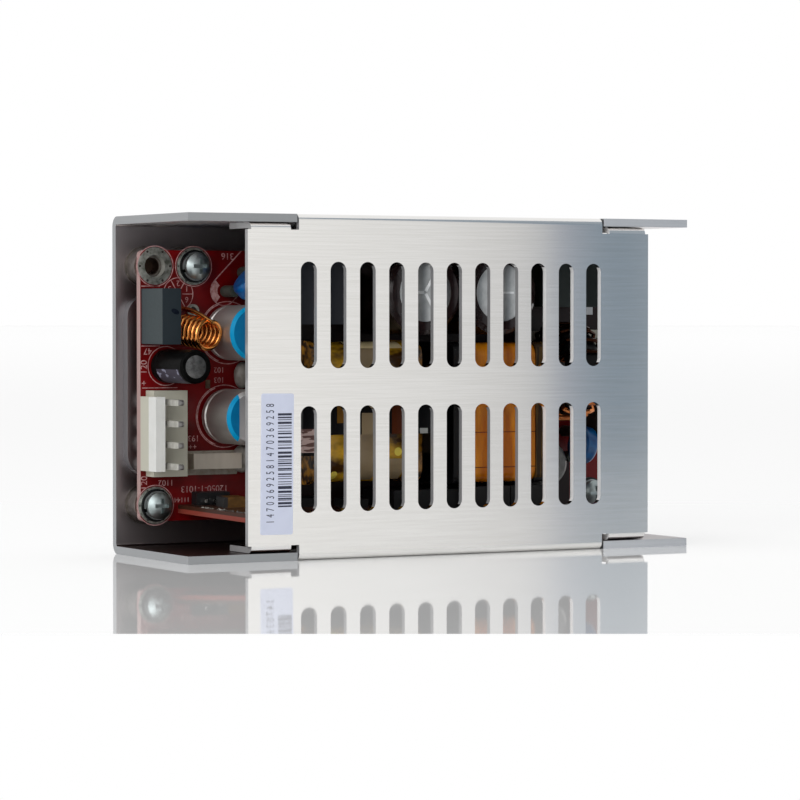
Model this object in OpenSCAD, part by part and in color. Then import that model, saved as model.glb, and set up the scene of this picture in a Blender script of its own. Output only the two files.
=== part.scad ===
// Switching power supply in a slotted sheet metal case.
// A 2 x 4 inch circuit board stands on four screws in a folded channel.
// A slotted cover, also one folded sheet, closes the component side.
// Everything is drawn lying on its base, then stood up on one long side wall.

/* [Chassis] */
// Length of the folded channel, open at both ends
case_length = 107.3; // [104:0.1:120]
// Width over both side walls
case_width = 63.5; // [60:0.1:75]
// Depth from the base to the front edge of the walls
case_depth = 33.2; // [32:0.1:45]
// Thickness of the chassis sheet
sheet = 1.5; // [1:0.1:2]
// Outer radius of the chassis folds
bend_radius = 2; // [1.8:0.1:3]
// Width of the plateau that is pressed up in the base
plateau_width = 33.7; // [20:0.1:38]
// Margin of base left flat at each end of the plateau
plateau_margin = 1.5; // [1:0.1:10]
// Height of the plateau above the base
plateau_rise = 2; // [0.5:0.1:2.4]
// Corner radius of the plateau
plateau_corner = 4; // [2:0.5:8]

/* [Cover] */
// Length of the cover's slotted face
cover_length = 86.3; // [86:0.1:92]
// How far the cover's middle lies from the middle of the chassis
cover_shift = 1.5; // [0:0.1:2]
// Thickness of the cover sheet
cover_sheet = 1.1; // [0.8:0.1:1.2]
// Outer radius of the cover folds
cover_bend = 1.3; // [1.3:0.1:3]
// Depth of the outer flanges, measured from the face
flange_depth = 8.5; // [6:0.1:12]
// Length of the four inner corner tabs
tab_length = 8.1; // [7:0.1:9]
// Depth of the corner tabs, measured from the face
tab_depth = 9; // [8:0.1:12]
// How far the face reaches past the tabs at each end
tab_setback = 0.7; // [0.2:0.1:1]
// Width of the relief notches between the tabs and the outer flanges
relief_width = 1.65; // [1.4:0.05:3]
// Gap between the cover's folds and the chassis walls
cover_gap = 0.1; // [0.05:0.05:0.3]
// Gap between an outer flange and each end of its window
window_gap = 0.35; // [0.1:0.05:0.8]

/* [Slots] */
// Number of slots in each row
slot_count = 11; // [5:1:12]
// Distance from slot to slot
slot_pitch = 6.14; // [5:0.01:6.4]
// Width of a slot, with round ends
slot_width = 3.3; // [2:0.1:4]
// Length of a slot
slot_length = 19.6; // [10:0.1:22]
// Distance between the middles of the two rows
slot_row_pitch = 26.5; // [24:0.1:28]

/* [Fasteners] */
// Thread diameter of every screw
thread_d = 3; // [2.5:0.5:3]
// Bore of a tapped hole before its thread
tapped_d = 2.5; // [2:0.1:2.6]
// Clearance hole of the cover's screws
clearance_d = 3.2; // [3.1:0.1:3.6]
// Head diameter of the countersunk cover screws
flat_head_d = 5.5; // [5:0.1:6]
// Length of the countersunk cover screws
flat_screw_length = 4; // [3.5:0.1:6]
// Head diameter of the pan head board screws
pan_head_d = 5; // [4.6:0.1:5.6]
// Head height of the board screws
pan_head_h = 2.1; // [1.6:0.1:2.4]
// Length of the board screws under the head
pan_screw_length = 6.4; // [5:0.1:7]
// Outer diameter of the flat washers
flat_washer_d = 6.2; // [5.8:0.1:7]
// Thickness of the flat washers
flat_washer_t = 0.5; // [0.3:0.1:0.8]
// Outer diameter of the split lock washers
lock_washer_d = 5.4; // [5:0.1:5.6]
// Thickness of the split lock washers
lock_washer_t = 0.8; // [0.5:0.1:1]
// Length between the mounting holes in the base
base_hole_length = 76.2; // [60:0.1:84]
// Width between the mounting holes in the base
base_hole_width = 20; // [12:0.1:24]

/* [Standoffs] */
// Diameter of the pressed-in standoffs
standoff_d = 7; // [6:0.1:7.4]
// Height of the standoffs above the base
standoff_h = 4; // [3.5:0.1:6]
// Diameter of the foot rim of a standoff
standoff_foot_d = 7.6; // [7.2:0.1:7.8]
// Height of the foot rim
standoff_foot_h = 0.4; // [0.2:0.1:0.8]

/* [Circuit board] */
// Length of the circuit board
board_length = 101.6; // [101:0.1:103]
// Width of the circuit board
board_width = 50.8; // [50:0.1:54]
// Thickness of the circuit board
board_thick = 1.6; // [1:0.1:2]
// Corner radius of the circuit board
board_corner = 1; // [0.5:0.1:2]
// Gap between the open left end and the board
board_setback = 2.5; // [2:0.1:3]
// Distance of a mounting hole from both edges
hole_inset = 3; // [2.8:0.1:3.2]
// Diameter of the board's mounting holes
board_hole_d = 4.2; // [3.4:0.1:4.4]
// Distance of the second earth pad from the first
earth_pitch = 8; // [7.8:0.1:8.4]

/* [Headers] */
// Distance from pin to pin in both power headers
pin_pitch = 3.96; // [3.8:0.01:4]
// Side of a square header pin
pin_side = 1.14; // [0.8:0.02:1.3]
// Height of the pin tips above the board
pin_height = 12.2; // [9:0.1:14]
// Length of the pin tails behind the board
pin_tail = 1.6; // [1:0.1:1.8]
// Depth of a header's base, away from the board's edge
header_depth = 6.9; // [6:0.1:8]
// Height of a header's base
header_base_h = 3.6; // [2.5:0.1:5]
// Plastic past the end pins of a header
header_end = 2.1; // [1.6:0.1:3]
// Thickness of a header's lock wall
lock_wall_t = 1.9; // [1:0.1:2]
// Height of a header's lock wall
lock_wall_h = 6.9; // [5:0.1:9]
// How much shorter the lock wall is than the base
lock_wall_short = 2.2; // [1:0.1:4]
// How far the lock wall stands out past the base
lock_wall_out = 1.1; // [0.6:0.1:1.4]

/* [Output filter] */
// Diameter of the two polymer capacitors
polymer_d = 10.4; // [8:0.1:10.5]
// Height of the polymer capacitors
polymer_h = 12.4; // [10:0.1:16]
// Diameter of the small electrolytic capacitor
small_cap_d = 6.3; // [5:0.1:6.5]
// Height of the small electrolytic capacitor
small_cap_h = 13.3; // [9:0.1:15]
// Thickness of the film capacitor at the left edge
film_thick = 3.8; // [2.5:0.1:4]
// Width of the film capacitor
film_width = 10.4; // [8:0.1:10.8]
// Height of the film capacitor
film_height = 9.4; // [8:0.1:12]
// Outer diameter of the air-cored coil
coil_d = 5.5; // [5:0.1:6]
// Wire diameter of the air-cored coil
coil_wire = 0.9; // [0.6:0.05:1]
// Number of turns of the air-cored coil
coil_turns = 6; // [4:1:6]
// Distance from turn to turn
coil_pitch = 1.2; // [1.1:0.01:1.3]
// Lean of the coil towards the middle of the board
coil_lean = 16; // [0:1:20]
// Lean of the coil towards the board's low edge
coil_sag = 9; // [0:1:12]
// Length of the current shunt
shunt_length = 10; // [8:0.1:10.4]
// Width of the current shunt
shunt_width = 2.9; // [2:0.1:3.2]

/* [Primary side] */
// Diameter of the two bulk capacitors
bulk_d = 16; // [14:0.1:16.2]
// Room left between the bulk capacitors and the cover
bulk_room = 3.4; // [1:0.1:8]
// Gap between the two bulk capacitors
bulk_gap = 0.6; // [0.3:0.1:2]
// Wall of the shrink sleeves on the capacitors
sleeve_t = 0.25; // [0.15:0.05:0.4]
// Length of the transformer's core
trafo_length = 30.4; // [26:0.1:31]
// Width of the transformer's winding across the board
trafo_width = 26.4; // [22:0.1:26.8]
// Room left between the transformer and the cover
trafo_room = 3.1; // [1:0.1:6]
// Thickness of the transformer's outer core legs
core_leg_t = 3.2; // [2.5:0.1:3.6]
// Width of the transformer's outer core legs
core_leg_w = 8; // [6:0.1:10]
// Length of the boost choke over its end plates
choke_length = 21.4; // [18:0.1:21.8]
// Width of the boost choke
choke_width = 27; // [22:0.1:27.2]
// Room left between the boost choke and the cover
choke_room = 4.9; // [1:0.1:8]
// Outer diameter of the line choke's ring
ring_d = 17.4; // [15:0.1:18]
// Inner diameter of the line choke's ring
ring_bore = 9.4; // [8:0.1:10]
// Thickness of the line choke's ring
ring_t = 6.2; // [5:0.1:6.4]
// Wire diameter of the line choke
ring_wire = 0.9; // [0.6:0.05:0.95]
// Turns of each winding of the line choke
ring_turns = 8; // [5:1:8]
// Length of the line filter's film capacitor
line_cap_length = 17.5; // [15:0.1:17.8]
// Width of the line filter's film capacitor
line_cap_width = 10; // [8:0.1:10.2]
// Room left between the line filter's film capacitor and the cover
line_cap_room = 6; // [1:0.1:9]
// Length of the resonant capacitor
resonant_length = 11.6; // [9:0.1:12]
// Width of the resonant capacitor
resonant_width = 13; // [10:0.1:13.4]
// Room left between the resonant capacitor and the cover
resonant_room = 5; // [1:0.1:9]
// Diameter of the round fuse
fuse_d = 8.4; // [7:0.1:8.6]
// Height of the round fuse
fuse_h = 8; // [6:0.1:12]
// Diameter of the disc capacitors
disc_d = 7.4; // [6:0.1:7.6]
// Thickness of the disc capacitors
disc_t = 3.4; // [2:0.1:3.8]
// Diameter of the inrush thermistor
thermistor_d = 9; // [7:0.1:9.4]
// Thickness of the inrush thermistor
thermistor_t = 3.4; // [2:0.1:3.8]
// Thickness of the heatsink plate
heatsink_t = 1.5; // [1:0.1:1.8]
// Room left between the heatsink plate and the cover
heatsink_room = 6; // [1:0.1:8]
// Thickness of the power devices on the heatsink
device_t = 4.1; // [3:0.1:4.3]

/* [Control board] */
// Length of the control board along its foot
control_length = 35.4; // [30:0.1:36]
// Height of the control board above the main board
control_height = 18; // [14:0.1:22]
// Thickness of the control board
control_thick = 1.6; // [1:0.1:1.8]
// How far the left edge of the control board slants
control_slant = 5.3; // [0:0.1:6]
// Lean of the control board away from the parts that it carries
control_tilt = 3.2; // [0:0.1:4]

/* [Label] */
// Width of the bare label on the cover
label_width = 6.6; // [5:0.1:8]
// Length of the label
label_length = 25.8; // [20:0.1:26]
// Thickness of the label
label_t = 0.1; // [0.05:0.05:0.2]
// Distance of the label from the chassis's left end
label_left = 14.6; // [12:0.1:16]
// Distance of the label from the chassis's low wall
label_low = 4.9; // [3:0.1:8]
// Angle at which the label is stuck on
label_turn = 0.6; // [0:0.1:2]

/* [Hidden] */
// Working values
eps = 0.01;
curve = 48;

// Heights above the outer face of the base
board_back = sheet + standoff_h;
board_top = board_back + board_thick;
face_inside = case_depth - cover_sheet;
headroom = face_inside - board_top;

// Board edges, with the middle of the chassis at zero
board_left = -case_length / 2 + board_setback;
board_low = -board_width / 2;

// Cover
tab_width_over = case_width - 2 * (sheet + cover_gap);
flat_width = tab_width_over - 2 * cover_bend;
cover_half = cover_length / 2;
tab_outer_end = cover_half - tab_setback;
flange_length = 2 * (tab_outer_end - tab_length - relief_width);
tab_screw_x = tab_outer_end - tab_length / 2;
tab_screw_drop = tab_depth / 2 + 0.5;
flat_head_h = (flat_head_d - thread_d) / 2;

// Chassis window that takes the cover's outer flange
window_length = flange_length + 2 * window_gap;
window_depth = flange_depth + cover_gap;

// Board fastening points, measured from the board's low left corner
left_hole_x = hole_inset;
right_hole_x = board_length - hole_inset;
low_hole_y = hole_inset;
high_hole_y = board_width - hole_inset;
empty_hole = [left_hole_x, high_hole_y];
screw_holes = [
    [left_hole_x + earth_pitch, high_hole_y],
    [left_hole_x, low_hole_y],
    [right_hole_x, high_hole_y],
    [right_hole_x, low_hole_y]
];
all_holes = concat([empty_hole], screw_holes);

// Headers: distance of the pins from the board's end, and middle of the row
header_edge = lock_wall_out;
header_pin_in = 1.9;
output_ways = 4;
input_ways = 3;
output_row_y = 16.5;
input_row_y = 29.6;
output_pins_x = header_edge + header_pin_in;
input_pins_x = board_length - header_edge - header_pin_in;
output_pin_rows = [for (i = [0 : output_ways - 1]) output_row_y + (i - (output_ways - 1) / 2) * pin_pitch];
input_pin_rows = [input_row_y - pin_pitch, input_row_y + pin_pitch];

// Left bay, measured from the board's low left corner
film_at = [0.2 + film_thick / 2, 38.4];
small_cap_at = [5.2, 29.1];
coil_foot = [7.9, 35.95];
coil_lift = 2.2;
polymer_x = 17.4;
polymer_low_y = 19.5;
polymer_high_y = 35.3;
shunt_at = [9.1 + shunt_length / 2, 11.2];
shunt_base_offset = [-0.3, -0.4];

// Middle of the board
trafo_left = 22.9;
trafo_at = [trafo_left + trafo_length / 2, 20.4];
trafo_lift = 0.5;
trafo_height = headroom - trafo_lift - trafo_room;
trafo_wall_t = 3.4;
trafo_flange_t = 1;
trafo_flange_extra = 0.5;
trafo_wind_h = trafo_height - 2 * core_leg_t - 0.4;
trafo_mid_h = trafo_lift + trafo_height / 2;
trafo_bore_w = 15.6;
trafo_bore_h = 4.8;
trafo_wind_length = trafo_length - 2 * trafo_wall_t;
choke_left = trafo_left + trafo_length + 2.6;
choke_at = [choke_left + choke_length / 2, 20];
choke_lift = 0.3;
choke_height = headroom - choke_lift - choke_room;
choke_plate_t = 3.2;
bulk_h = headroom - bulk_room;
bulk_y = 42.9;
bulk_first_x = 49;
bulk_places = [for (i = [0, 1]) [bulk_first_x + i * (bulk_d + bulk_gap), bulk_y]];
resonant_height = headroom - resonant_room;
resonant_at = [23.2 + resonant_length / 2, 43.4];

// Right end of the board
line_cap_height = headroom - line_cap_room;
line_cap_at = [board_length - 6.6 - line_cap_length / 2, 45.2];
ring_at = [board_length - 15.6, 27.6];
ring_lift = 1.9;
ring_mid_h = ring_lift + ring_wire + ring_d / 2;
fuse_at = [board_length - 16.8, 9.4];
disc_places = [
    [[19.4, 44.9], 45],
    [[board_length - 9.3, 13], 80]
];
disc_lift = 4.2;
disc_lead_d = 2.2;
thermistor_lift = 3;
thermistor_at = [board_length - 4.7, 16.8];

// Heatsink and its devices
heatsink_h = headroom - heatsink_room;
heatsink_low = 0.25;
heatsink_left = 44.8;
heatsink_right = 80.2;
bridge_width = 14.2;
device_width = 10.2;
device_lift = 4;
bridge_x = heatsink_left + 0.2 + bridge_width / 2;
device_x = [for (i = [0, 1]) bridge_x + bridge_width / 2 + 0.2 + device_width / 2 + i * (device_width + 0.2)];

// Control board
control_left = 7.7;
control_low = 1.4;
control_top = control_low + control_thick;

// Places of the soldered leads, from the board's low left corner
lead_places = concat(
    [for (y = output_pin_rows) [output_pins_x, y]],
    [for (y = input_pin_rows) [input_pins_x, y]]
);

// ---------- helpers ----------

// Stands the lying model on its long side wall, cover towards -Y
module stand() {
    translate([0, case_depth / 2, case_width / 2]) rotate([90, 0, 0]) children();
}

// Moves children to a place on the component side of the board
module on_board(place, lift = 0) {
    translate([board_left + place[0], board_low + place[1], board_top + lift]) children();
}

// Flat plate with round corners, centred
module rounded_plate(length, width, radius, height) {
    linear_extrude(height) rounded_rectangle(length, width, radius);
}

module rounded_rectangle(length, width, radius) {
    square([length - 2 * radius, width], center = true);
    square([length, width - 2 * radius], center = true);
    for (x = [-1, 1], y = [-1, 1]) {
        translate([x * (length / 2 - radius), y * (width / 2 - radius)]) circle(r = radius, $fn = curve);
    }
}

// Box with all four upright edges rounded, standing on zero
module rounded_block(size, radius) {
    rounded_plate(size[0], size[1], radius, size[2]);
}

// Extrudes a profile drawn across the case along the case's length
module along_case(length) {
    translate([-length / 2, 0, 0]) rotate([90, 0, 90]) linear_extrude(length) children();
}

// Cross-section of a channel that is folded from one sheet, open at the top
module channel_section(width, depth, thickness, radius) {
    difference() {
        channel_outline(width, depth, radius);
        translate([0, thickness]) channel_outline(width - 2 * thickness, depth, radius - thickness);
    }
}

module channel_outline(width, depth, radius) {
    translate([-width / 2, radius]) square([width, depth - radius]);
    translate([-width / 2 + radius, 0]) square([width - 2 * radius, depth]);
    for (side = [-1, 1]) {
        translate([side * (width / 2 - radius), radius]) circle(r = radius, $fn = curve);
    }
}

// Round wire along a list of points
function unit(v) = v / norm(v);
function path_step(points, i) = points[min(i + 1, len(points) - 1)] - points[max(i - 1, 0)];
module wire(points, d, sides, up) {
    count = len(points);
    rings = [
        for (i = [0 : count - 1])
            let (t = unit(path_step(points, i)), a = unit(cross(t, up(i))), b = cross(a, t))
                for (k = [0 : sides - 1])
                    points[i] + d / 2 * (cos(360 * k / sides) * a + sin(360 * k / sides) * b)
    ];
    skin = [
        for (i = [0 : count - 2], k = [0 : sides - 1], half = [0, 1])
            let (n = (k + 1) % sides, low = i * sides, high = low + sides)
                half == 0 ? [low + k, low + n, high + n] : [low + k, high + n, high + k]
    ];
    first_cap = [for (k = [sides - 1 : -1 : 0]) k];
    last_cap = [for (k = [0 : sides - 1]) (count - 1) * sides + k];
    polyhedron(points = rings, faces = concat([first_cap], skin, [last_cap]), convexity = 10);
}

// ---------- sheet metal ----------

module chassis() {
    color("#b4b8bb") stand() difference() {
        union() {
            along_case(case_length) channel_section(case_width, case_depth, sheet, bend_radius);
            plateau_outside();
        }
        plateau_recess();
        wall_windows();
        cover_screw_holes(clearance_d);
        cover_countersinks();
        base_holes();
        standoff_holes();
    }
}

plateau_length = case_length - 2 * plateau_margin;

module plateau_outside() {
    translate([0, 0, sheet - eps]) {
        rounded_plate(plateau_length, plateau_width, plateau_corner, plateau_rise + eps);
    }
}

// The press leaves the same plateau as a recess on the outside
module plateau_recess() {
    recess_corner = plateau_corner - sheet;
    translate([0, 0, -eps]) {
        rounded_plate(plateau_length - 2 * sheet, plateau_width - 2 * sheet, recess_corner, plateau_rise + eps);
    }
}

module wall_windows() {
    translate([cover_shift - window_length / 2, -case_width, case_depth - window_depth]) {
        cube([window_length, 2 * case_width, window_depth + 1]);
    }
}

// Places children at the four cover screws, pointing into the case
module at_cover_screws() {
    for (end = [-1, 1], side = [-1, 1]) {
        translate([cover_shift + end * tab_screw_x, side * case_width / 2, case_depth - tab_screw_drop]) {
            rotate([side * 90, 0, 0]) children();
        }
    }
}

module cover_screw_holes(d) {
    at_cover_screws() translate([0, 0, -1]) cylinder(d = d, h = 2 * sheet + 3, $fn = curve);
}

module cover_countersinks() {
    at_cover_screws() translate([0, 0, -eps]) {
        cylinder(r1 = flat_head_d / 2 + cover_gap, r2 = clearance_d / 2 - eps, h = flat_head_h, $fn = curve);
    }
}

module base_holes() {
    for (x = [-1, 1], y = [-1, 1]) {
        translate([x * base_hole_length / 2, y * base_hole_width / 2, -1]) {
            cylinder(d = tapped_d, h = sheet + plateau_rise + 2, $fn = curve);
        }
    }
}

module standoff_holes() {
    for (place = all_holes) {
        translate([board_left + place[0], board_low + place[1], -1]) {
            cylinder(d = standoff_d - 2, h = sheet + 2, $fn = curve);
        }
    }
}

module cover() {
    color("#c9cccd") stand() translate([cover_shift, 0, 0]) difference() {
        union() {
            cover_shell(flange_length, case_width, flange_depth);
            cover_face();
            for (end = [-1, 1]) {
                translate([end * tab_screw_x, 0, 0]) cover_shell(tab_length, tab_width_over, tab_depth);
            }
        }
        cover_slots();
        cover_reliefs();
        translate([-cover_shift, 0, 0]) cover_screw_holes(tapped_d);
    }
}

// Folded stretch of the cover: the face with a flange at each side
module cover_shell(length, width, depth) {
    translate([0, 0, case_depth]) mirror([0, 0, 1]) {
        along_case(length) channel_section(width, depth, cover_sheet, cover_bend);
    }
}

module cover_face() {
    translate([-cover_half, -flat_width / 2, face_inside]) cube([cover_length, flat_width, cover_sheet]);
}

// Two rows of slots with round ends
module cover_slots() {
    for (row = [-1, 1], i = [0 : slot_count - 1]) {
        translate([(i - (slot_count - 1) / 2) * slot_pitch, row * slot_row_pitch / 2, face_inside - 1]) {
            linear_extrude(cover_sheet + 2) slot_outline();
        }
    }
}

module slot_outline() {
    straight = slot_length - slot_width;
    square([slot_width, straight], center = true);
    for (end = [-1, 1]) {
        translate([0, end * straight / 2]) circle(d = slot_width, $fn = curve);
    }
}

// Notches that part the folds of the flanges from those of the tabs
module cover_reliefs() {
    relief_x = (flange_length + relief_width) / 2;
    relief_depth = (case_width - flat_width) / 2;
    for (end = [-1, 1], side = [-1, 1]) {
        translate([end * relief_x, side * (flat_width / 2 + relief_depth), face_inside]) {
            cube([relief_width, 2 * relief_depth, 4 * cover_sheet], center = true);
        }
    }
}

// ---------- fasteners and standoffs ----------

module standoffs() {
    color("#a9adb0") stand() for (place = all_holes) {
        translate([board_left + place[0], board_low + place[1], 0]) standoff();
    }
}

// Pressed through the base and flush with its outer face
module standoff() {
    difference() {
        union() {
            cylinder(d = standoff_d - 2, h = sheet, $fn = curve);
            translate([0, 0, sheet]) cylinder(d = standoff_foot_d, h = standoff_foot_h, $fn = curve);
            translate([0, 0, sheet]) cylinder(d = standoff_d, h = standoff_h, $fn = curve);
        }
        translate([0, 0, -1]) cylinder(d = thread_d, h = sheet + standoff_h + 2, $fn = curve);
    }
}

module cover_screws() {
    color("#c3c7ca") stand() at_cover_screws() difference() {
        union() {
            cylinder(r1 = flat_head_d / 2, r2 = thread_d / 2 - cover_gap, h = flat_head_h, $fn = curve);
            cylinder(d = tapped_d, h = flat_screw_length, $fn = curve);
        }
        cross_recess(flat_head_d * 0.5, 1);
    }
}

// Cross recess cut into a screw head from below
module cross_recess(span, depth) {
    blade = span / 4;
    for (turn = [0, 90]) {
        rotate([0, 0, turn]) translate([-span / 2, -blade / 2, -eps]) cube([span, blade, depth]);
    }
}

stack_height = board_top + flat_washer_t + lock_washer_t;

module at_board_screws(height) {
    for (place = screw_holes) {
        translate([board_left + place[0], board_low + place[1], height]) children();
    }
}

module board_screws() {
    color("#d4d8da") stand() at_board_screws(stack_height) {
        difference() {
            pan_head();
            translate([0, 0, pan_head_h]) mirror([0, 0, 1]) cross_recess(pan_head_d * 0.56, pan_head_h * 0.6);
        }
        translate([0, 0, -pan_screw_length]) cylinder(d = thread_d, h = pan_screw_length + eps, $fn = curve);
    }
}

// Low dome with a straight rim
module pan_head() {
    rim_h = pan_head_h * 0.45;
    crown_h = pan_head_h - rim_h;
    edge_r = pan_head_d / 2;
    crown_r = (edge_r * edge_r + crown_h * crown_h) / (2 * crown_h);
    cylinder(r = edge_r, h = rim_h, $fn = curve);
    intersection() {
        translate([0, 0, rim_h - eps]) cylinder(r = edge_r, h = crown_h + 1, $fn = curve);
        translate([0, 0, pan_head_h - crown_r]) sphere(r = crown_r, $fn = 96);
    }
}

module lock_washers() {
    gap = 0.7;
    color("#c0c5c8") stand() at_board_screws(board_top + flat_washer_t) rotate([0, 0, 200]) difference() {
        cylinder(d = lock_washer_d, h = lock_washer_t, $fn = curve);
        translate([0, 0, -1]) cylinder(d = thread_d + 0.2, h = lock_washer_t + 2, $fn = curve);
        translate([0, -gap / 2, -1]) cube([lock_washer_d, gap, lock_washer_t + 2]);
    }
}

module flat_washers() {
    color("#cfd3d5") stand() at_board_screws(board_top) difference() {
        cylinder(d = flat_washer_d, h = flat_washer_t, $fn = curve);
        translate([0, 0, -1]) cylinder(d = thread_d + 0.2, h = flat_washer_t + 2, $fn = curve);
    }
}

// ---------- board and headers ----------

module circuit_board() {
    color("#7d0a10") stand() difference() {
        translate([board_left + board_length / 2, 0, board_back]) {
            rounded_plate(board_length, board_width, board_corner, board_thick);
        }
        for (place = all_holes) {
            on_board(place, -board_thick - 1) cylinder(d = board_hole_d, h = board_thick + 2, $fn = curve);
        }
        for (place = lead_places) {
            on_board(place, -board_thick - 1) pin_bar(pin_side, board_thick + 2);
        }
    }
}

module pin_bar(side, height) {
    translate([-side / 2, -side / 2, 0]) cube([side, side, height]);
}

// Square pin with a four-sided point
module header_pin() {
    tip = pin_side;
    tip_flat = pin_side * 0.4;
    low = -board_thick - pin_tail;
    intersection() {
        translate([0, pin_side / 2, 0]) rotate([90, 0, 0]) {
            linear_extrude(pin_side) pin_side_view(low, tip, tip_flat);
        }
        translate([-pin_side / 2, 0, 0]) rotate([90, 0, 90]) {
            linear_extrude(pin_side) pin_side_view(low, tip, tip_flat);
        }
    }
}

module pin_side_view(low, tip, tip_flat) {
    half = pin_side / 2;
    polygon([
        [-half, low], [half, low], [half, pin_height - tip],
        [tip_flat / 2, pin_height], [-tip_flat / 2, pin_height], [-half, pin_height - tip]
    ]);
}

// One-piece header housing, lock wall towards -X, pins at the origin
module header_housing(rows, ways, middle) {
    length = (ways - 1) * pin_pitch + 2 * header_end;
    wall_left = -header_pin_in - lock_wall_out;
    difference() {
        union() {
            translate([-header_pin_in, middle - length / 2, 0]) cube([header_depth, length, header_base_h]);
            translate([wall_left, middle - length / 2 + lock_wall_short / 2, 0]) {
                cube([lock_wall_t, length - lock_wall_short, lock_wall_h]);
            }
        }
        for (y = rows) {
            translate([0, y, -1]) pin_bar(pin_side, header_base_h + 2);
        }
    }
}

module output_header() {
    color("#e4e2d8") stand() on_board([output_pins_x, 0]) {
        header_housing(output_pin_rows, output_ways, output_row_y);
    }
}

module output_pins() {
    color("#c9ccd0") stand() for (y = output_pin_rows) {
        on_board([output_pins_x, y]) header_pin();
    }
}

module input_header() {
    color("#e4e2d8") stand() on_board([input_pins_x, 0]) mirror([1, 0, 0]) {
        header_housing(input_pin_rows, input_ways, input_row_y);
    }
}

module input_pins() {
    color("#c9ccd0") stand() for (y = input_pin_rows) {
        on_board([input_pins_x, y]) header_pin();
    }
}

// ---------- left bay ----------

module film_capacitor() {
    color("#4d5a63") stand() on_board(film_at) rounded_block([film_thick, film_width, film_height], 0.25);
}

// Turns of the air-cored coil, which leans two ways
coil_r = (coil_d - coil_wire) / 2;
function lean(p) = [
    p[0] * cos(coil_lean) + p[2] * sin(coil_lean),
    p[1] * cos(coil_sag) - p[2] * sin(coil_sag),
    p[2] * cos(coil_lean) - p[0] * sin(coil_lean) + p[1] * sin(coil_sag) + coil_lift
];
function coil_point(a) = lean([coil_r * cos(a), coil_r * sin(a), coil_pitch * a / 360]);

// The wire comes up from the board, and goes back down past the high side of the turns
module output_coil() {
    steps = 18;
    last = (coil_turns + 0.25) * steps;
    first_turn = coil_point(0);
    last_turn = coil_point(360 * last / steps);
    leg_out = [-coil_wire, coil_wire * 0.9, 0];
    leg_foot = [last_turn[0] - 2 * coil_wire, coil_r + 1.6 * coil_wire, 0];
    leg_knee = leg_foot + [0, 0, 1.5 * coil_wire];
    points = concat(
        [[first_turn[0], first_turn[1], 0]],
        [for (i = [0 : last]) coil_point(360 * i / steps)],
        [last_turn + leg_out, leg_knee, leg_foot]
    );
    color("#b8733a") stand() on_board(coil_foot) {
        wire(points, coil_wire, 8, function (i) let (a = 360 * (i - 1) / steps)
            i < 1 ? [1, 0, 0.01] : i > last ? [0, 1, 0.01] : [cos(a), sin(a), 0]);
    }
}

// Electrolytic can: crimped foot, groove, straight wall and bevelled top
module can(d, height, groove_h) {
    r = d / 2;
    groove = r * 0.07;
    bevel = r * 0.12;
    rotate_extrude($fn = curve) polygon([
        [0, 0], [r - groove, 0], [r, groove], [r, groove_h - groove], [r - groove, groove_h],
        [r, groove_h + groove], [r, height - bevel], [r - bevel, height], [0, height]
    ]);
}

// Shrink sleeve: follows the can's wall and curls over its top
module sleeve(d, height, groove_h, lip) {
    r = d / 2;
    inner = r - sleeve_t;
    groove = inner * 0.07;
    bevel = inner * 0.12;
    rotate_extrude($fn = curve) polygon([
        [inner, groove], [r, groove], [r, groove_h - groove], [r - groove, groove_h], [r, groove_h + groove],
        [r, height - bevel], [r - bevel, height], [lip, height], [lip, height - sleeve_t],
        [inner - bevel, height - sleeve_t], [inner, height - sleeve_t - bevel], [inner, groove_h + groove],
        [inner - groove, groove_h], [inner, groove_h - groove]
    ]);
}

module small_can() {
    color("#8b8f92") stand() on_board(small_cap_at) {
        can(small_cap_d - 2 * sleeve_t, small_cap_h - sleeve_t, small_cap_h * 0.14);
    }
}

module small_sleeve() {
    color("#15161a") stand() on_board(small_cap_at) {
        sleeve(small_cap_d, small_cap_h, small_cap_h * 0.14, small_cap_d * 0.34);
    }
}

polymer_places = [[polymer_x, polymer_low_y], [polymer_x + 0.7, polymer_high_y]];
bung_h = 0.6;

module polymer_capacitors() {
    color("#9a9b9c") stand() for (place = polymer_places) {
        on_board(place, bung_h) can(polymer_d, polymer_h - bung_h, 1.9);
    }
}

module polymer_bungs() {
    color("#1a1a1c") stand() for (place = polymer_places) {
        on_board(place) cylinder(d = polymer_d * 0.84, h = bung_h, $fn = curve);
    }
}

shunt_base_h = 1.2;
shunt_bar_t = 0.9;
shunt_bar_h = 4;

module shunt_base() {
    color("#a49c8a") stand() on_board(shunt_at + shunt_base_offset) {
        rounded_block([shunt_length + 1.4, shunt_width + 1.6, shunt_base_h], 0.3);
    }
}

// Flat bar with a foot at each end
module shunt_bar() {
    bar_h = shunt_bar_h - shunt_base_h;
    bar_at = shunt_at + [0, shunt_width / 2];
    color("#9d9b95") stand() on_board(bar_at, shunt_base_h) rotate([90, 0, 0]) linear_extrude(shunt_width) {
        difference() {
            translate([-shunt_length / 2, 0]) square([shunt_length, bar_h]);
            translate([-shunt_length / 2 + shunt_bar_t, -1]) {
                square([shunt_length - 2 * shunt_bar_t, bar_h - shunt_bar_t + 1]);
            }
        }
    }
}

// ---------- transformer and boost choke ----------

// Block lying along X, its cross-section rounded
module lying_block(length, width, height, radius) {
    rotate([90, 0, 90]) translate([0, 0, -length / 2]) {
        linear_extrude(length) rounded_rectangle(width, height, radius);
    }
}

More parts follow.
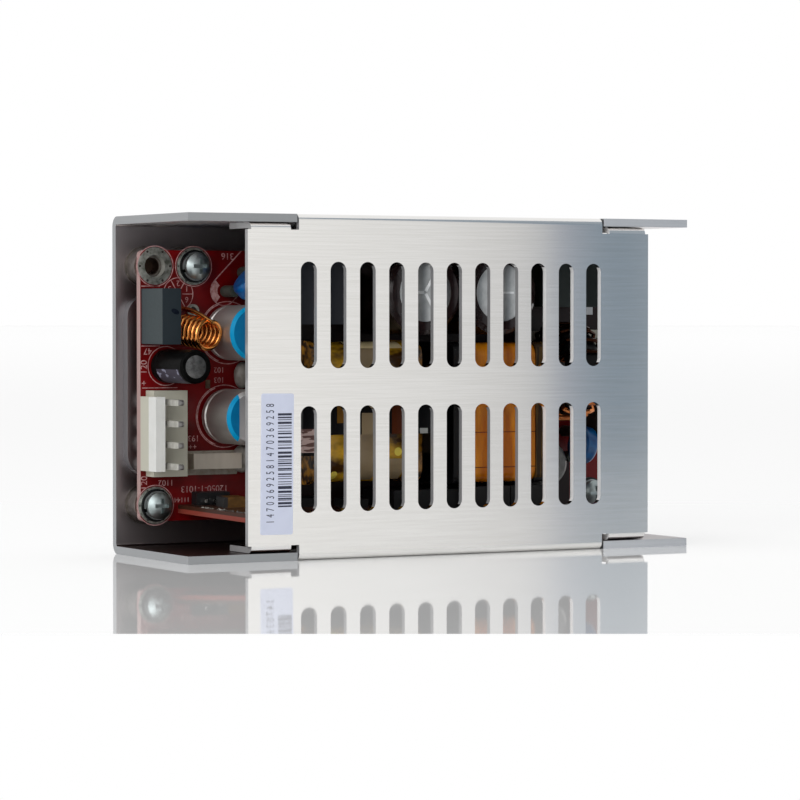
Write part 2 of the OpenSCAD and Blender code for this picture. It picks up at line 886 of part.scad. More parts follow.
module transformer_core() {
    wall_w = trafo_bore_w;
    color("#3a3b3e") stand() on_board(trafo_at, trafo_mid_h) {
        for (end = [-1, 1]) {
            translate([end * (trafo_length - trafo_wall_t) / 2, 0, 0]) {
                cube([trafo_wall_t, wall_w, trafo_height], center = true);
            }
        }
        for (side = [-1, 1]) {
            translate([0, 0, side * (trafo_height - core_leg_t) / 2]) {
                cube([trafo_length, core_leg_w, core_leg_t], center = true);
            }
        }
        lying_block(trafo_length, trafo_bore_w - 1, trafo_bore_h - 1, 1);
    }
}

module transformer_bobbin() {
    flange_w = trafo_width + trafo_flange_extra;
    flange_h = trafo_wind_h + trafo_flange_extra / 2;
    color("#8d897e") stand() on_board(trafo_at, trafo_mid_h) difference() {
        union() {
            for (end = [-1, 1]) {
                translate([end * (trafo_wind_length - trafo_flange_t) / 2, 0, 0]) {
                    lying_block(trafo_flange_t, flange_w, flange_h, 3);
                }
                pin_rail(end);
            }
            lying_block(trafo_wind_length, trafo_bore_w + 1, trafo_bore_h + 1, 1.5);
        }
        lying_block(trafo_length + 1, trafo_bore_w - 0.9, trafo_bore_h - 0.9, 1);
    }
}

// Foot of the bobbin that carries it on the board, clear of the core leg
module pin_rail(end) {
    rail_w = (trafo_width - core_leg_w) / 2 - 1;
    rail_x = end * (trafo_wind_length - trafo_flange_t) / 2;
    rail_y = core_leg_w / 2 + rail_w / 2 + 0.6;
    for (side = [-1, 1]) {
        translate([rail_x - trafo_flange_t / 2, side * rail_y - rail_w / 2, -trafo_mid_h]) {
            cube([trafo_flange_t, rail_w, trafo_mid_h - trafo_bore_h / 2]);
        }
    }
}

module transformer_winding() {
    length = trafo_wind_length - 2 * trafo_flange_t;
    color("#b98a1e") stand() on_board(trafo_at, trafo_mid_h) difference() {
        lying_block(length, trafo_width, trafo_wind_h, 5);
        lying_block(length + 1, trafo_bore_w + 1, trafo_bore_h + 1, 1.5);
    }
}

module choke_core() {
    color("#26272a") stand() on_board(choke_at, choke_lift + choke_height / 2) {
        for (end = [-1, 1]) {
            translate([end * (choke_length - choke_plate_t) / 2, 0, 0]) {
                lying_block(choke_plate_t, choke_width, choke_height, 2);
            }
        }
        lying_block(choke_length, choke_width * 0.5, choke_height * 0.4, 1.5);
    }
}

module choke_winding() {
    length = choke_length - 2 * choke_plate_t;
    color("#d27a1c") stand() on_board(choke_at, choke_lift + choke_height / 2) difference() {
        lying_block(length, choke_width - 0.4, choke_height - 0.4, 2.5);
        lying_block(length + 1, choke_width * 0.5, choke_height * 0.4, 1.5);
    }
}

// ---------- bulk capacitors and boxes ----------

module bulk_cans() {
    color("#b9bcbe") stand() for (place = bulk_places) {
        on_board(place) can(bulk_d - 2 * sleeve_t, bulk_h - sleeve_t, 3);
    }
}

module bulk_sleeves() {
    color("#1c1416") stand() for (place = bulk_places) {
        on_board(place) sleeve(bulk_d, bulk_h, 3, bulk_d * 0.345);
    }
}

module resonant_capacitor() {
    color("#2d3036") stand() on_board(resonant_at) {
        rounded_block([resonant_length, resonant_width, resonant_height], 0.4);
    }
}

module line_capacitor() {
    color("#343a40") stand() on_board(line_cap_at) {
        rounded_block([line_cap_length, line_cap_width, line_cap_height], 0.4);
    }
}

// ---------- line choke ----------

// Ring that stands on edge, its axis along the case
module line_choke_core() {
    color("#1f3a2c") stand() on_board(ring_at, ring_mid_h) rotate([0, 90, 0]) {
        rotate_extrude($fn = 64) translate([(ring_d + ring_bore) / 4, 0]) {
            rounded_rectangle((ring_d - ring_bore) / 2, ring_t, 0.9);
        }
    }
}

// Foot plate with a cradle that holds the ring
module line_choke_base() {
    base_w = ring_d * 0.9;
    color("#d8d6cc") stand() on_board(ring_at) difference() {
        translate([-ring_t / 2 - 1.6, -base_w / 2, 0]) cube([ring_t + 3.2, base_w, 3.2]);
        translate([0, 0, ring_mid_h]) rotate([0, 90, 0]) {
            translate([0, 0, -ring_t]) cylinder(r = ring_d / 2 + ring_wire + 0.3, h = 2 * ring_t, $fn = 64);
        }
    }
}

ring_clear = 0.15;

// A point of a winding: u runs round the wire's loop, a round the ring
function loop_side(v) = sign(v) * pow(abs(v), 0.35);
function ring_point(a, u) =
    let (
        half_r = (ring_d - ring_bore) / 4 + ring_wire / 2 + ring_clear,
        half_t = (ring_t + ring_wire) / 2 + ring_clear,
        r = (ring_d + ring_bore) / 4 + half_r * loop_side(cos(u))
    )
    [half_t * loop_side(sin(u)), r * cos(a), r * sin(a)];

module line_choke_windings() {
    steps = 10;
    span = 130;
    color("#b0602c") stand() on_board(ring_at, ring_mid_h) for (middle = [0, 180]) {
        points = [
            for (i = [0 : ring_turns * steps])
                ring_point(middle - span / 2 + span * i / (ring_turns * steps), 360 * i / steps + 18)
        ];
        wire(points, ring_wire, 6, function (i)
            let (a = middle - span / 2 + span * i / (ring_turns * steps)) [0, -sin(a), cos(a)]);
    }
}

// ---------- small primary parts ----------

module disc_capacitors() {
    color("#1a6aa5") stand() for (disc = disc_places) {
        on_board(disc[0], disc_lift + disc_d / 2) rotate([90, 0, disc[1]]) disc_body();
    }
}

// Dipped disc with a rounded rim
module disc_body() {
    rim = disc_t * 0.3;
    rotate_extrude($fn = curve) {
        translate([0, -disc_t / 2]) square([disc_d / 2 - rim, disc_t]);
        translate([0, -disc_t / 2 + rim]) square([disc_d / 2, disc_t - 2 * rim]);
        for (side = [-1, 1]) {
            translate([disc_d / 2 - rim, side * (disc_t / 2 - rim)]) circle(r = rim, $fn = 32);
        }
    }
}

// Sleeved leads that carry each disc, set in from its rim
module disc_leads() {
    spread = disc_d * 0.34;
    inner = spread - disc_lead_d / 2;
    drop = disc_d / 2 - sqrt(disc_d * disc_d / 4 - inner * inner);
    color("#4c524b") stand() for (disc = disc_places) {
        for (side = [-1, 1]) {
            on_board(disc[0]) rotate([0, 0, disc[1]]) translate([side * spread, 0, 0]) {
                cylinder(d = disc_lead_d, h = disc_lift + drop - 0.05, $fn = 24);
            }
        }
    }
}

module fuse() {
    color("#b9bab4") stand() on_board(fuse_at) {
        cylinder(d = fuse_d, h = fuse_h - 0.8, $fn = curve);
        translate([0, 0, fuse_h - 0.8]) cylinder(r1 = fuse_d / 2, r2 = fuse_d / 2 - 0.8, h = 0.8, $fn = curve);
    }
}

module thermistor() {
    color("#4a463f") stand() on_board(thermistor_at) {
        translate([-thermistor_t / 2, 0, thermistor_lift + thermistor_d / 2]) rotate([0, 90, 0]) {
            cylinder(d = thermistor_d, h = thermistor_t, $fn = curve);
        }
        for (side = [-1, 1]) {
            translate([0, side * thermistor_d * 0.28, 0]) cylinder(d = 0.8, h = thermistor_lift + 1, $fn = 24);
        }
    }
}

module heatsink() {
    length = heatsink_right - heatsink_left;
    color("#2b2c2f") stand() on_board([heatsink_left, heatsink_low]) cube([length, heatsink_t, heatsink_h]);
}

device_y = heatsink_low + heatsink_t;

module bridge_rectifier() {
    color("#1b1b1d") stand() on_board([bridge_x - bridge_width / 2, device_y], device_lift) {
        cube([bridge_width, device_t - 0.4, heatsink_h - device_lift - 2.5]);
        device_legs(bridge_width, 4, 3.8);
    }
}

module power_transistors() {
    color("#202022") stand() for (x = device_x) {
        on_board([x - device_width / 2, device_y], device_lift) {
            cube([device_width, device_t, heatsink_h - device_lift - 1]);
            device_legs(device_width, 3, 2.54);
        }
    }
}

// Flat leads from the body down to the board
module device_legs(width, count, pitch) {
    first_leg = width / 2 - (count - 1) / 2 * pitch - 0.4;
    for (i = [0 : count - 1]) {
        translate([first_leg + i * pitch, 1.6, -device_lift]) cube([0.8, 0.5, device_lift + eps]);
    }
}

// ---------- control board ----------

// Moves children to the foot of the control board, leaning with it
module on_control_board() {
    stand() on_board([control_left, control_top]) rotate([control_tilt, 0, 0]) children();
}

// Leaning board, its foot cut level where it meets the main board
module control_board() {
    color("#8e1a1c") intersection() {
        on_control_board() rotate([90, 0, 0]) linear_extrude(control_thick) polygon([
            [0, -1], [control_length, -1],
            [control_length, control_height], [control_slant, control_height], [0, 0]
        ]);
        stand() on_board([control_left - 1, control_low - control_height / 4]) {
            cube([control_length + 2, control_height / 2, control_height + 1]);
        }
    }
}

header_block_x = 2.8;
header_block_length = 6.8;
header_block_side = 2.4;

module control_header() {
    color("#17181a") on_control_board() translate([header_block_x, 0, 0]) {
        cube([header_block_length, header_block_side, header_block_side]);
    }
}

module control_pins() {
    middle = header_block_x + header_block_length / 2;
    color("#d0d2d4") on_control_board() for (i = [-1 : 1]) {
        translate([middle + 2 * i - 0.3, 0.6, header_block_side]) cube([0.6, 0.6, 1.1]);
    }
}

module control_chips() {
    chips = [[15.4, 9, 4.9, 3.9], [23, 8, 6, 3.9], [30.5, 12, 5, 4.4]];
    color("#222326") on_control_board() for (chip = chips) {
        translate([chip[0] - chip[2] / 2, 0, chip[1] - chip[3] / 2]) cube([chip[2], 1.6, chip[3]]);
    }
}

module tantalum_capacitor() {
    color("#a57a2c") on_control_board() translate([6, 0, 4]) cube([4.6, 1.9, 3.4]);
}

module chip_resistors() {
    chips = [[19.4, 27.4, 1.6, 0.8], [21.2, 28.2, 0.8, 1.6], [20.6, 26, 1.6, 0.8], [13.4, 24.8, 0.8, 1.6]];
    color("#34302c") stand() for (chip = chips) {
        on_board([chip[0], chip[1]]) cube([chip[2], chip[3], 0.5]);
    }
}

// Solder domes round the pin tails on the back of the board
module solder_joints() {
    dome_h = 1.2;
    color("#bfc2c4") stand() for (place = lead_places) {
        on_board(place, -board_thick) mirror([0, 0, 1]) difference() {
            cylinder(r1 = 1.7, r2 = 0.9, h = dome_h, $fn = 32);
            translate([0, 0, -1]) pin_bar(pin_side, dome_h + 2);
        }
    }
}

// ---------- label ----------

module label() {
    label_x = label_left + label_width / 2 - case_length / 2;
    label_y = label_low + label_length / 2 - case_width / 2;
    color("#c8cfe1") stand() translate([label_x, label_y, case_depth]) rotate([0, 0, -label_turn]) {
        rounded_plate(label_width, label_length, 0.4, label_t);
    }
}

chassis();
cover();
standoffs();
cover_screws();
circuit_board();
board_screws();
lock_washers();
flat_washers();
output_header();
output_pins();
input_header();
input_pins();
film_capacitor();
output_coil();
small_can();
small_sleeve();
polymer_capacitors();
polymer_bungs();
shunt_base();
shunt_bar();
transformer_core();
transformer_bobbin();
transformer_winding();
choke_core();
choke_winding();
bulk_cans();
bulk_sleeves();
resonant_capacitor();
line_capacitor();
line_choke_core();
line_choke_base();
line_choke_windings();
disc_capacitors();
disc_leads();
fuse();
thermistor();
heatsink();
bridge_rectifier();
power_transistors();
control_board();
control_header();
control_pins();
control_chips();
tantalum_capacitor();
chip_resistors();
solder_joints();
label();
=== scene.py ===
import math
import random

import bmesh
import bpy
from mathutils import Matrix, Vector


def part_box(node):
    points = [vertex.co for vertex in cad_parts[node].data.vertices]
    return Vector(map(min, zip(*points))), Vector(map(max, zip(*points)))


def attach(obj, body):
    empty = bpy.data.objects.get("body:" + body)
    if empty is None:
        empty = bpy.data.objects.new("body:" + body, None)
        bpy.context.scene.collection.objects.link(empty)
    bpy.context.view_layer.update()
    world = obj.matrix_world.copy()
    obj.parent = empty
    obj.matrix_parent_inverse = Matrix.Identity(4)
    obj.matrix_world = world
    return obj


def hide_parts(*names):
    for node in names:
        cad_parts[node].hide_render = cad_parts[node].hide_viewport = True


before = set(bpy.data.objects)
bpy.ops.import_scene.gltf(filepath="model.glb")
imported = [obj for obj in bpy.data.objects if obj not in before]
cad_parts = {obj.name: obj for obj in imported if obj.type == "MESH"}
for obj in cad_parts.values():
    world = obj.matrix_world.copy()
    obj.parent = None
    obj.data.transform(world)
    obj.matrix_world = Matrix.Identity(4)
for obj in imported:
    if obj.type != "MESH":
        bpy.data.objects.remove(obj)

scene = bpy.context.scene
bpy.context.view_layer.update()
MM = 0.001

# ----------------------------------------------------------------------
# Camera and light: the case is seen from the left of its slotted cover.
# Two softboxes and a plain room light it, before a backdrop that shows as white.
camera_place = Vector((-318.7, -577.4, 45.4)) * MM
camera_turn = math.radians(28.82)
camera_tilt = math.radians(1.45)

camera = bpy.data.objects.new("camera", bpy.data.cameras.new("camera"))
camera.data.sensor_width = 36
camera.data.lens = 154.9
camera.data.clip_start = 0.01
camera.location = camera_place
camera.rotation_euler = (math.radians(90) - camera_tilt, 0, -camera_turn)
scene.collection.objects.link(camera)
scene.camera = camera
scene.view_settings.view_transform = "Standard"


def calculate(tree, operation, *values):
    """One Math node; each value is a number or the output of another node."""
    node = tree.nodes.new("ShaderNodeMath")
    node.operation = operation
    for socket, value in zip(node.inputs, values):
        if isinstance(value, (int, float)):
            socket.default_value = value
        else:
            tree.links.new(value, socket)
    return node.outputs[0]


world = bpy.data.worlds.new("studio")
world.use_nodes = True
scene.world = world
world_tree = world.node_tree
room_light = world_tree.nodes["Background"]
room_light.inputs["Color"].default_value = (1, 1, 1, 1)
room_light.inputs["Strength"].default_value = 0.5
white_backdrop = world_tree.nodes.new("ShaderNodeBackground")
white_backdrop.inputs["Color"].default_value = (1, 1, 1, 1)
white_backdrop.inputs["Strength"].default_value = 1
ray = world_tree.nodes.new("ShaderNodeLightPath").outputs
seen_or_shiny = calculate(world_tree, "MAXIMUM", ray["Is Camera Ray"], ray["Is Glossy Ray"])
shows_white = calculate(world_tree, "MAXIMUM", seen_or_shiny, ray["Is Transmission Ray"])
either = world_tree.nodes.new("ShaderNodeMixShader")
world_tree.links.new(shows_white, either.inputs[0])
world_tree.links.new(room_light.outputs[0], either.inputs[1])
world_tree.links.new(white_backdrop.outputs[0], either.inputs[2])
world_tree.links.new(either.outputs[0], world_tree.nodes["World Output"].inputs["Surface"])


def add_softbox(name, place, aim, size, power):
    """A rectangular lamp that looks at what it lights."""
    lamp = bpy.data.lights.new(name, "AREA")
    lamp.shape = "RECTANGLE"
    lamp.size, lamp.size_y = size
    lamp.energy = power
    holder = bpy.data.objects.new(name, lamp)
    holder.location = place
    holder.rotation_euler = (Vector(aim) - Vector(place)).to_track_quat("-Z", "Y").to_euler()
    scene.collection.objects.link(holder)


case_middle = (0, 0, 0.03)
add_softbox("key_softbox", (-0.85, -0.6, 0.45), case_middle, (0.8, 0.8), 6)
add_softbox("top_softbox", (-0.1, 0.0, 1.0), case_middle, (0.8, 0.8), 4)

# ----------------------------------------------------------------------
# Grey panel: a tall card at the front right that only bare metal shows.
# It is white on its left side, and darker from the middle on.
panel_place = Vector((0.438, -0.700, 0.2))
panel_turn = math.radians(31.3)
panel_size = (0.9, 1.8)
panel_tones = (
    (0.36, (0.95, 0.945, 0.93)), (0.444, (0.84, 0.84, 0.835)), (0.486, (0.70, 0.70, 0.70)),
    (0.499, (0.58, 0.59, 0.61)), (0.505, (0.40, 0.43, 0.49)), (0.524, (0.26, 0.32, 0.38)),
    (0.538, (0.25, 0.31, 0.37)), (0.56, (0.36, 0.41, 0.46)),
)
bm = bmesh.new()
bmesh.ops.create_grid(bm, x_segments=1, y_segments=1, size=0.5)
upright = Matrix.Rotation(panel_turn, 4, "Z") @ Matrix.Rotation(math.radians(90), 4, "X")
panel_mesh = bpy.data.meshes.new("grey_panel")
bmesh.ops.transform(bm, matrix=Matrix.Diagonal((*panel_size, 1, 1)), verts=bm.verts)
bm.to_mesh(panel_mesh)
bm.free()
panel = bpy.data.objects.new("grey_panel", panel_mesh)
panel.matrix_world = Matrix.Translation(panel_place) @ upright
scene.collection.objects.link(panel)
panel_paint = bpy.data.materials.new("grey_panel")
panel_paint.use_nodes = True
panel_tree = panel_paint.node_tree
glow = panel_tree.nodes.new("ShaderNodeEmission")
across = panel_tree.nodes.new("ShaderNodeTexCoord")
parts = panel_tree.nodes.new("ShaderNodeSeparateXYZ")
shift = panel_tree.nodes.new("ShaderNodeMapRange")
shift.inputs["From Min"].default_value = -panel_size[0] / 2
shift.inputs["From Max"].default_value = panel_size[0] / 2
tones = panel_tree.nodes.new("ShaderNodeValToRGB")
stops = tones.color_ramp.elements
for i, (position, tone) in enumerate(panel_tones):
    stop = stops[i] if i < 2 else stops.new(position)
    stop.position = position
    stop.color = (*tone, 1)
panel_tree.links.new(across.outputs["Object"], parts.inputs[0])
panel_tree.links.new(parts.outputs["X"], shift.inputs["Value"])
panel_tree.links.new(shift.outputs[0], tones.inputs["Fac"])
panel_tree.links.new(tones.outputs["Color"], glow.inputs["Color"])
panel_tree.links.new(glow.outputs[0], panel_tree.nodes["Material Output"].inputs["Surface"])
panel_mesh.materials.append(panel_paint)
panel.visible_camera = False
panel.visible_diffuse = False
panel.visible_shadow = False

# ----------------------------------------------------------------------
# Floor: the white glossy table top, which ends in a straight edge in front of the case.
# The edge lies square to the camera's heading, and cuts the reflection off below the case.
table_edge = 0.486
table_reach = 6
floor_mesh = bpy.data.meshes.new("floor")
bm = bmesh.new()
bmesh.ops.create_grid(bm, x_segments=1, y_segments=1, size=table_reach)
under_camera = Matrix.Translation((camera_place.x, camera_place.y, 0))
past_edge = Matrix.Translation((0, table_edge + table_reach, 0))
heading = Matrix.Rotation(-camera_turn, 4, "Z")
bmesh.ops.transform(bm, matrix=under_camera @ heading @ past_edge, verts=bm.verts)
bm.to_mesh(floor_mesh)
bm.free()
floor = bpy.data.objects.new("floor", floor_mesh)
scene.collection.objects.link(floor)
floor_paint = bpy.data.materials.new("white_table")
floor_paint.use_nodes = True
floor_shader = floor_paint.node_tree.nodes["Principled BSDF"]
floor_shader.inputs["Base Color"].default_value = (0.93, 0.93, 0.93, 1)
floor_shader.inputs["Roughness"].default_value = 0.03
floor_shader.inputs["Specular IOR Level"].default_value = 0.62
floor_mesh.materials.append(floor_paint)

# ----------------------------------------------------------------------
# Chassis: one channel folded from bare aluminium sheet, open at both ends.
# Its outside is satin; the inside has painted shade, darkest on the low wall at the output end, and its
# upper wall has painted light; the sheared end edges are grey.
# The plate that carries the power devices inside is of the same sheet.


def new_finish(name, color, roughness, metallic=0.0, **sockets):
    """A Principled material; further sockets are named with low lines for spaces."""
    finish = bpy.data.materials.new(name)
    finish.use_nodes = True
    tree = finish.node_tree
    shader = tree.nodes["Principled BSDF"]
    shader.inputs["Base Color"].default_value = (*color, 1)
    shader.inputs["Roughness"].default_value = roughness
    shader.inputs["Metallic"].default_value = metallic
    for socket, value in sockets.items():
        shader.inputs[socket.replace("_", " ")].default_value = value
    return finish, tree, shader


def object_noise(tree, grains, detail=3, roughness=0.55):
    """Noise over Object coordinates; grains per metre along X, Y and Z, or one number for all."""
    place = tree.nodes.new("ShaderNodeTexCoord")
    mapping = tree.nodes.new("ShaderNodeMapping")
    mapping.inputs["Scale"].default_value = grains if isinstance(grains, tuple) else (grains,) * 3
    noise = tree.nodes.new("ShaderNodeTexNoise")
    noise.inputs["Scale"].default_value = 1
    noise.inputs["Detail"].default_value = detail
    noise.inputs["Roughness"].default_value = roughness
    tree.links.new(place.outputs["Object"], mapping.inputs["Vector"])
    tree.links.new(mapping.outputs[0], noise.inputs["Vector"])
    return noise.outputs["Fac"]


def tint_by(tree, shader, factor, low_color, high_color, low=0.35, high=0.65):
    """Base colour that runs between two tones with a factor."""
    ramp = tree.nodes.new("ShaderNodeValToRGB")
    ramp.color_ramp.elements[0].position = low
    ramp.color_ramp.elements[0].color = (*low_color, 1)
    ramp.color_ramp.elements[1].position = high
    ramp.color_ramp.elements[1].color = (*high_color, 1)
    tree.links.new(factor, ramp.inputs["Fac"])
    tree.links.new(ramp.outputs["Color"], shader.inputs["Base Color"])


def vary_roughness(tree, shader, factor, low, high):
    """Roughness that runs between two values with a factor."""
    spread = tree.nodes.new("ShaderNodeMapRange")
    spread.inputs["To Min"].default_value = low
    spread.inputs["To Max"].default_value = high
    tree.links.new(factor, spread.inputs["Value"])
    tree.links.new(spread.outputs[0], shader.inputs["Roughness"])


def all_of(tree, *masks):
    """Mask of what lies in every one of some masks."""
    result = masks[0]
    for mask in masks[1:]:
        result = calculate(tree, "MULTIPLY", result, mask)
    return result


def coordinates(tree):
    """The X, Y and Z outputs of a point's place on its object."""
    place = tree.nodes.new("ShaderNodeTexCoord")
    split = tree.nodes.new("ShaderNodeSeparateXYZ")
    tree.links.new(place.outputs["Object"], split.inputs[0])
    return split.outputs


def face_direction(tree):
    """The X, Y and Z outputs of the direction that a face looks in."""
    facing = tree.nodes.new("ShaderNodeNewGeometry")
    split = tree.nodes.new("ShaderNodeSeparateXYZ")
    tree.links.new(facing.outputs["True Normal"], split.inputs[0])
    return split.outputs


def paint_over(tree, shader, mask, color):
    """Lays one tone over the base colour so far, where the mask is one."""
    mix = tree.nodes.new("ShaderNodeMix")
    mix.data_type = "RGBA"
    socket = shader.inputs["Base Color"]
    if socket.links:
        tree.links.new(socket.links[0].from_socket, mix.inputs["A"])
    else:
        mix.inputs["A"].default_value = socket.default_value
    mix.inputs["B"].default_value = (*color, 1)
    tree.links.new(mask, mix.inputs["Factor"])
    tree.links.new(mix.outputs["Result"], socket)


def finish_node(node, finish):
    """Gives a CAD node its finish."""
    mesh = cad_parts[node].data
    mesh.materials.clear()
    mesh.materials.append(finish)


chassis_low, chassis_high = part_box("chassis")
case_mid_z = (chassis_low.z + chassis_high.z) / 2
sheet_thick = 1.5 * MM
front_reach = 4 * MM
hair = 0.05 * MM


def sheet_finish(name, outer, shaded_inner, floor_shade, roof_light, sheared):
    """Bare sheet with painted shade over its inside and low wall, painted light on its upper wall, and grey
    sheared edges.
    """
    finish, tree, shader = new_finish(name, outer, 0.33, 1.0)
    rolling = object_noise(tree, (20, 900, 900), 2)
    tint_by(tree, shader, rolling, [c * 0.95 for c in outer], [c * 1.05 for c in outer])
    vary_roughness(tree, shader, object_noise(tree, (60, 200, 200)), 0.30, 0.38)
    place = coordinates(tree)
    facing = face_direction(tree)
    off_middle = calculate(tree, "ABSOLUTE", calculate(tree, "SUBTRACT", place["Z"], case_mid_z))
    half_inside = (chassis_high.z - chassis_low.z) / 2 - sheet_thick + hair
    within = all_of(
        tree,
        calculate(tree, "LESS_THAN", off_middle, half_inside),
        calculate(tree, "LESS_THAN", place["Y"], chassis_high.y - sheet_thick + hair),
        calculate(tree, "GREATER_THAN", place["Y"], chassis_low.y + hair),
        calculate(tree, "LESS_THAN", facing["Y"], 0.5),
    )
    # Painted shade over the inside of the sheet.
    paint_over(tree, shader, within, shaded_inner)
    # Deeper painted shade on the low wall's inside, in the output half.
    upward = calculate(tree, "GREATER_THAN", facing["Z"], 0.5)
    low_wall = calculate(tree, "LESS_THAN", place["Z"], chassis_low.z + 2 * sheet_thick)
    output_half = calculate(tree, "LESS_THAN", place["X"], 0)
    paint_over(tree, shader, all_of(tree, within, upward, low_wall, output_half), floor_shade)
    # Painted light on the upper wall's inside, with darker rolling streaks over it.
    downward = calculate(tree, "LESS_THAN", facing["Z"], -0.5)
    paint_over(tree, shader, all_of(tree, within, downward), roof_light)
    streaks = calculate(tree, "GREATER_THAN", object_noise(tree, (6, 500, 700), 2), 0.54)
    paint_over(tree, shader, all_of(tree, within, downward, streaks), [c * 0.8 for c in roof_light])
    frontal = calculate(tree, "LESS_THAN", facing["Y"], -0.7)
    foremost = calculate(tree, "LESS_THAN", place["Y"], chassis_low.y + front_reach)
    paint_over(tree, shader, all_of(tree, frontal, foremost, output_half), sheared)
    endwise = calculate(tree, "GREATER_THAN", calculate(tree, "ABSOLUTE", facing["X"]), 0.6)
    paint_over(tree, shader, endwise, sheared)
    return finish


chassis_finish = sheet_finish(
    "folded_aluminium", outer=(0.62, 0.63, 0.65), shaded_inner=(0.26, 0.235, 0.24),
    floor_shade=(0.06, 0.035, 0.033), roof_light=(0.98, 0.95, 0.95), sheared=(0.34, 0.35, 0.36),
)
for node in ("chassis", "heatsink"):
    finish_node(node, chassis_finish)

# ----------------------------------------------------------------------
# Circuit board: glass epoxy under a red solder resist, its routed edge bare and pinkish tan.
# Copper under the resist shows as faint raised areas, and the holes for the screws are tinned.
# Behind the cover it is in deep shade, but for one pale patch at the input end.


def sheet_frame(corner):
    """Frame of a flat piece in millimetres from its corner: X along, Y up, Z towards the cover."""
    turned = Matrix(((MM, 0, 0, 0), (0, 0, -MM, 0), (0, MM, 0, 0), (0, 0, 0, 1)))
    return Matrix.Translation(corner) @ turned


board_low, board_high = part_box("circuit_board")
BOARD = sheet_frame(board_low)
board_length = (board_high.x - board_low.x) / MM
board_width = (board_high.z - board_low.z) / MM
hole_inset = 3.0
hole_radius = 2.1
earth_pitch = 8.0
earth_pads = (
    (hole_inset, board_width - hole_inset),
    (hole_inset + earth_pitch, board_width - hole_inset),
    (hole_inset, hole_inset),
)
board_shade = (0.012, 0.0008, 0.0008)


def row_axis(place):
    """A place on the board, in millimetres, as X and Z of the row frame."""
    point = BOARD @ Vector((*place, 0))
    return point.x, point.z


def board_field(tree, low, high):
    """Mask of a rectangle on the board's plan, through all depths; corners in board millimetres."""
    place = coordinates(tree)
    left, bottom = row_axis(low)
    right, upper = row_axis(high)
    return all_of(
        tree,
        calculate(tree, "GREATER_THAN", place["X"], left),
        calculate(tree, "LESS_THAN", place["X"], right),
        calculate(tree, "GREATER_THAN", place["Z"], bottom),
        calculate(tree, "LESS_THAN", place["Z"], upper),
    )


def paint_fields(tree, shader, *fields):
    """Tones of some rectangles on the board's plan; each field has two corners and a tone."""
    for low, high, tone in fields:
        paint_over(tree, shader, board_field(tree, low, high), tone)


def near_axis(tree, centre, radius):
    """Mask of what lies within a radius of a line along Y; centre is X and Z in metres."""
    place = coordinates(tree)
    along_x = calculate(tree, "SUBTRACT", place["X"], centre[0])
    along_z = calculate(tree, "SUBTRACT", place["Z"], centre[1])
    squares = [calculate(tree, "MULTIPLY", offset, offset) for offset in (along_x, along_z)]
    return calculate(tree, "LESS_THAN", calculate(tree, "ADD", *squares), radius * radius)


def emboss(tree, shader, factor, distance, strength=1.0):
    """Bump from a factor; distance is the height of the relief in metres."""
    bump = tree.nodes.new("ShaderNodeBump")
    bump.inputs["Distance"].default_value = distance
    bump.inputs["Strength"].default_value = strength
    tree.links.new(factor, bump.inputs["Height"])
    tree.links.new(bump.outputs[0], shader.inputs["Normal"])


def resist_finish(name, edge_color):
    """Red resist on both faces of a board, another colour on its cut edges; gives their mask too."""
    red, dark = (0.17, 0.0008, 0.002), (0.115, 0.0004, 0.001)
    finish, tree, shader = new_finish(name, red, 0.30, Specular_IOR_Level=0.22)
    copper = object_noise(tree, 130, 1)
    tint_by(tree, shader, copper, dark, red, 0.42, 0.50)
    emboss(tree, shader, copper, 0.00003, 0.25)
    cut = calculate(tree, "LESS_THAN", calculate(tree, "ABSOLUTE", face_direction(tree)["Y"]), 0.5)
    paint_over(tree, shader, cut, edge_color)
    return finish, tree, shader, cut


board_finish, tree, shader, cut = resist_finish("red_solder_resist", (0.38, 0.25, 0.235))
paint_fields(
    tree, shader,
    ((24, -1), (board_length - 13, 60), board_shade),
    ((24, 22), (board_length + 1, 60), board_shade),
    ((80, -1), (94, 10), board_shade),
    ((95, 38.7), (99.5, 40.2), (0.55, 0.57, 0.60)),
)
for pad in earth_pads:
    tinned = all_of(tree, cut, near_axis(tree, row_axis(pad), (hole_radius + 0.05) * MM))
    paint_over(tree, shader, tinned, (0.30, 0.30, 0.27))
finish_node("circuit_board", board_finish)

# ----------------------------------------------------------------------
# Printing on the board: thin lines of white ink round the parts and fastening points.
# Plain numbers and signs stand where a board has its markings.
ink_thick = 0.03
ink_line_width = 0.16


def add_piece(name, bm, finish, smooth_angle=None, matrix=BOARD):
    """Makes an object of a bmesh that was drawn in a frame's millimetres, by default the board's."""
    bmesh.ops.transform(bm, matrix=matrix, verts=bm.verts)
    bmesh.ops.recalc_face_normals(bm, faces=bm.faces)
    mesh = bpy.data.meshes.new(name)
    bm.to_mesh(mesh)
    bm.free()
    if smooth_angle:
        mesh.polygons.foreach_set("use_smooth", [True] * len(mesh.polygons))
        mesh.set_sharp_from_angle(angle=math.radians(smooth_angle))
    piece = bpy.data.objects.new(name, mesh)
    scene.collection.objects.link(piece)
    mesh.materials.append(finish)
    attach(piece, "root")
    return piece


def ink_arc(bm, centre, radius, start=0, sweep=360, width=ink_line_width):
    """Band along an arc, made by spinning one short edge; angles in degrees."""
    turn = Matrix.Rotation(math.radians(start), 4, "Z")
    middle = Vector((*centre, 0))
    ends = [bm.verts.new(middle + turn @ Vector((radius + side * width / 2, 0, 0))) for side in (-1, 1)]
    edge = bm.edges.new(ends)
    bmesh.ops.spin(
        bm, geom=[*ends, edge], cent=middle, axis=(0, 0, 1), angle=math.radians(sweep),
        steps=max(6, round(abs(sweep) / 7)), use_merge=sweep == 360,
    )


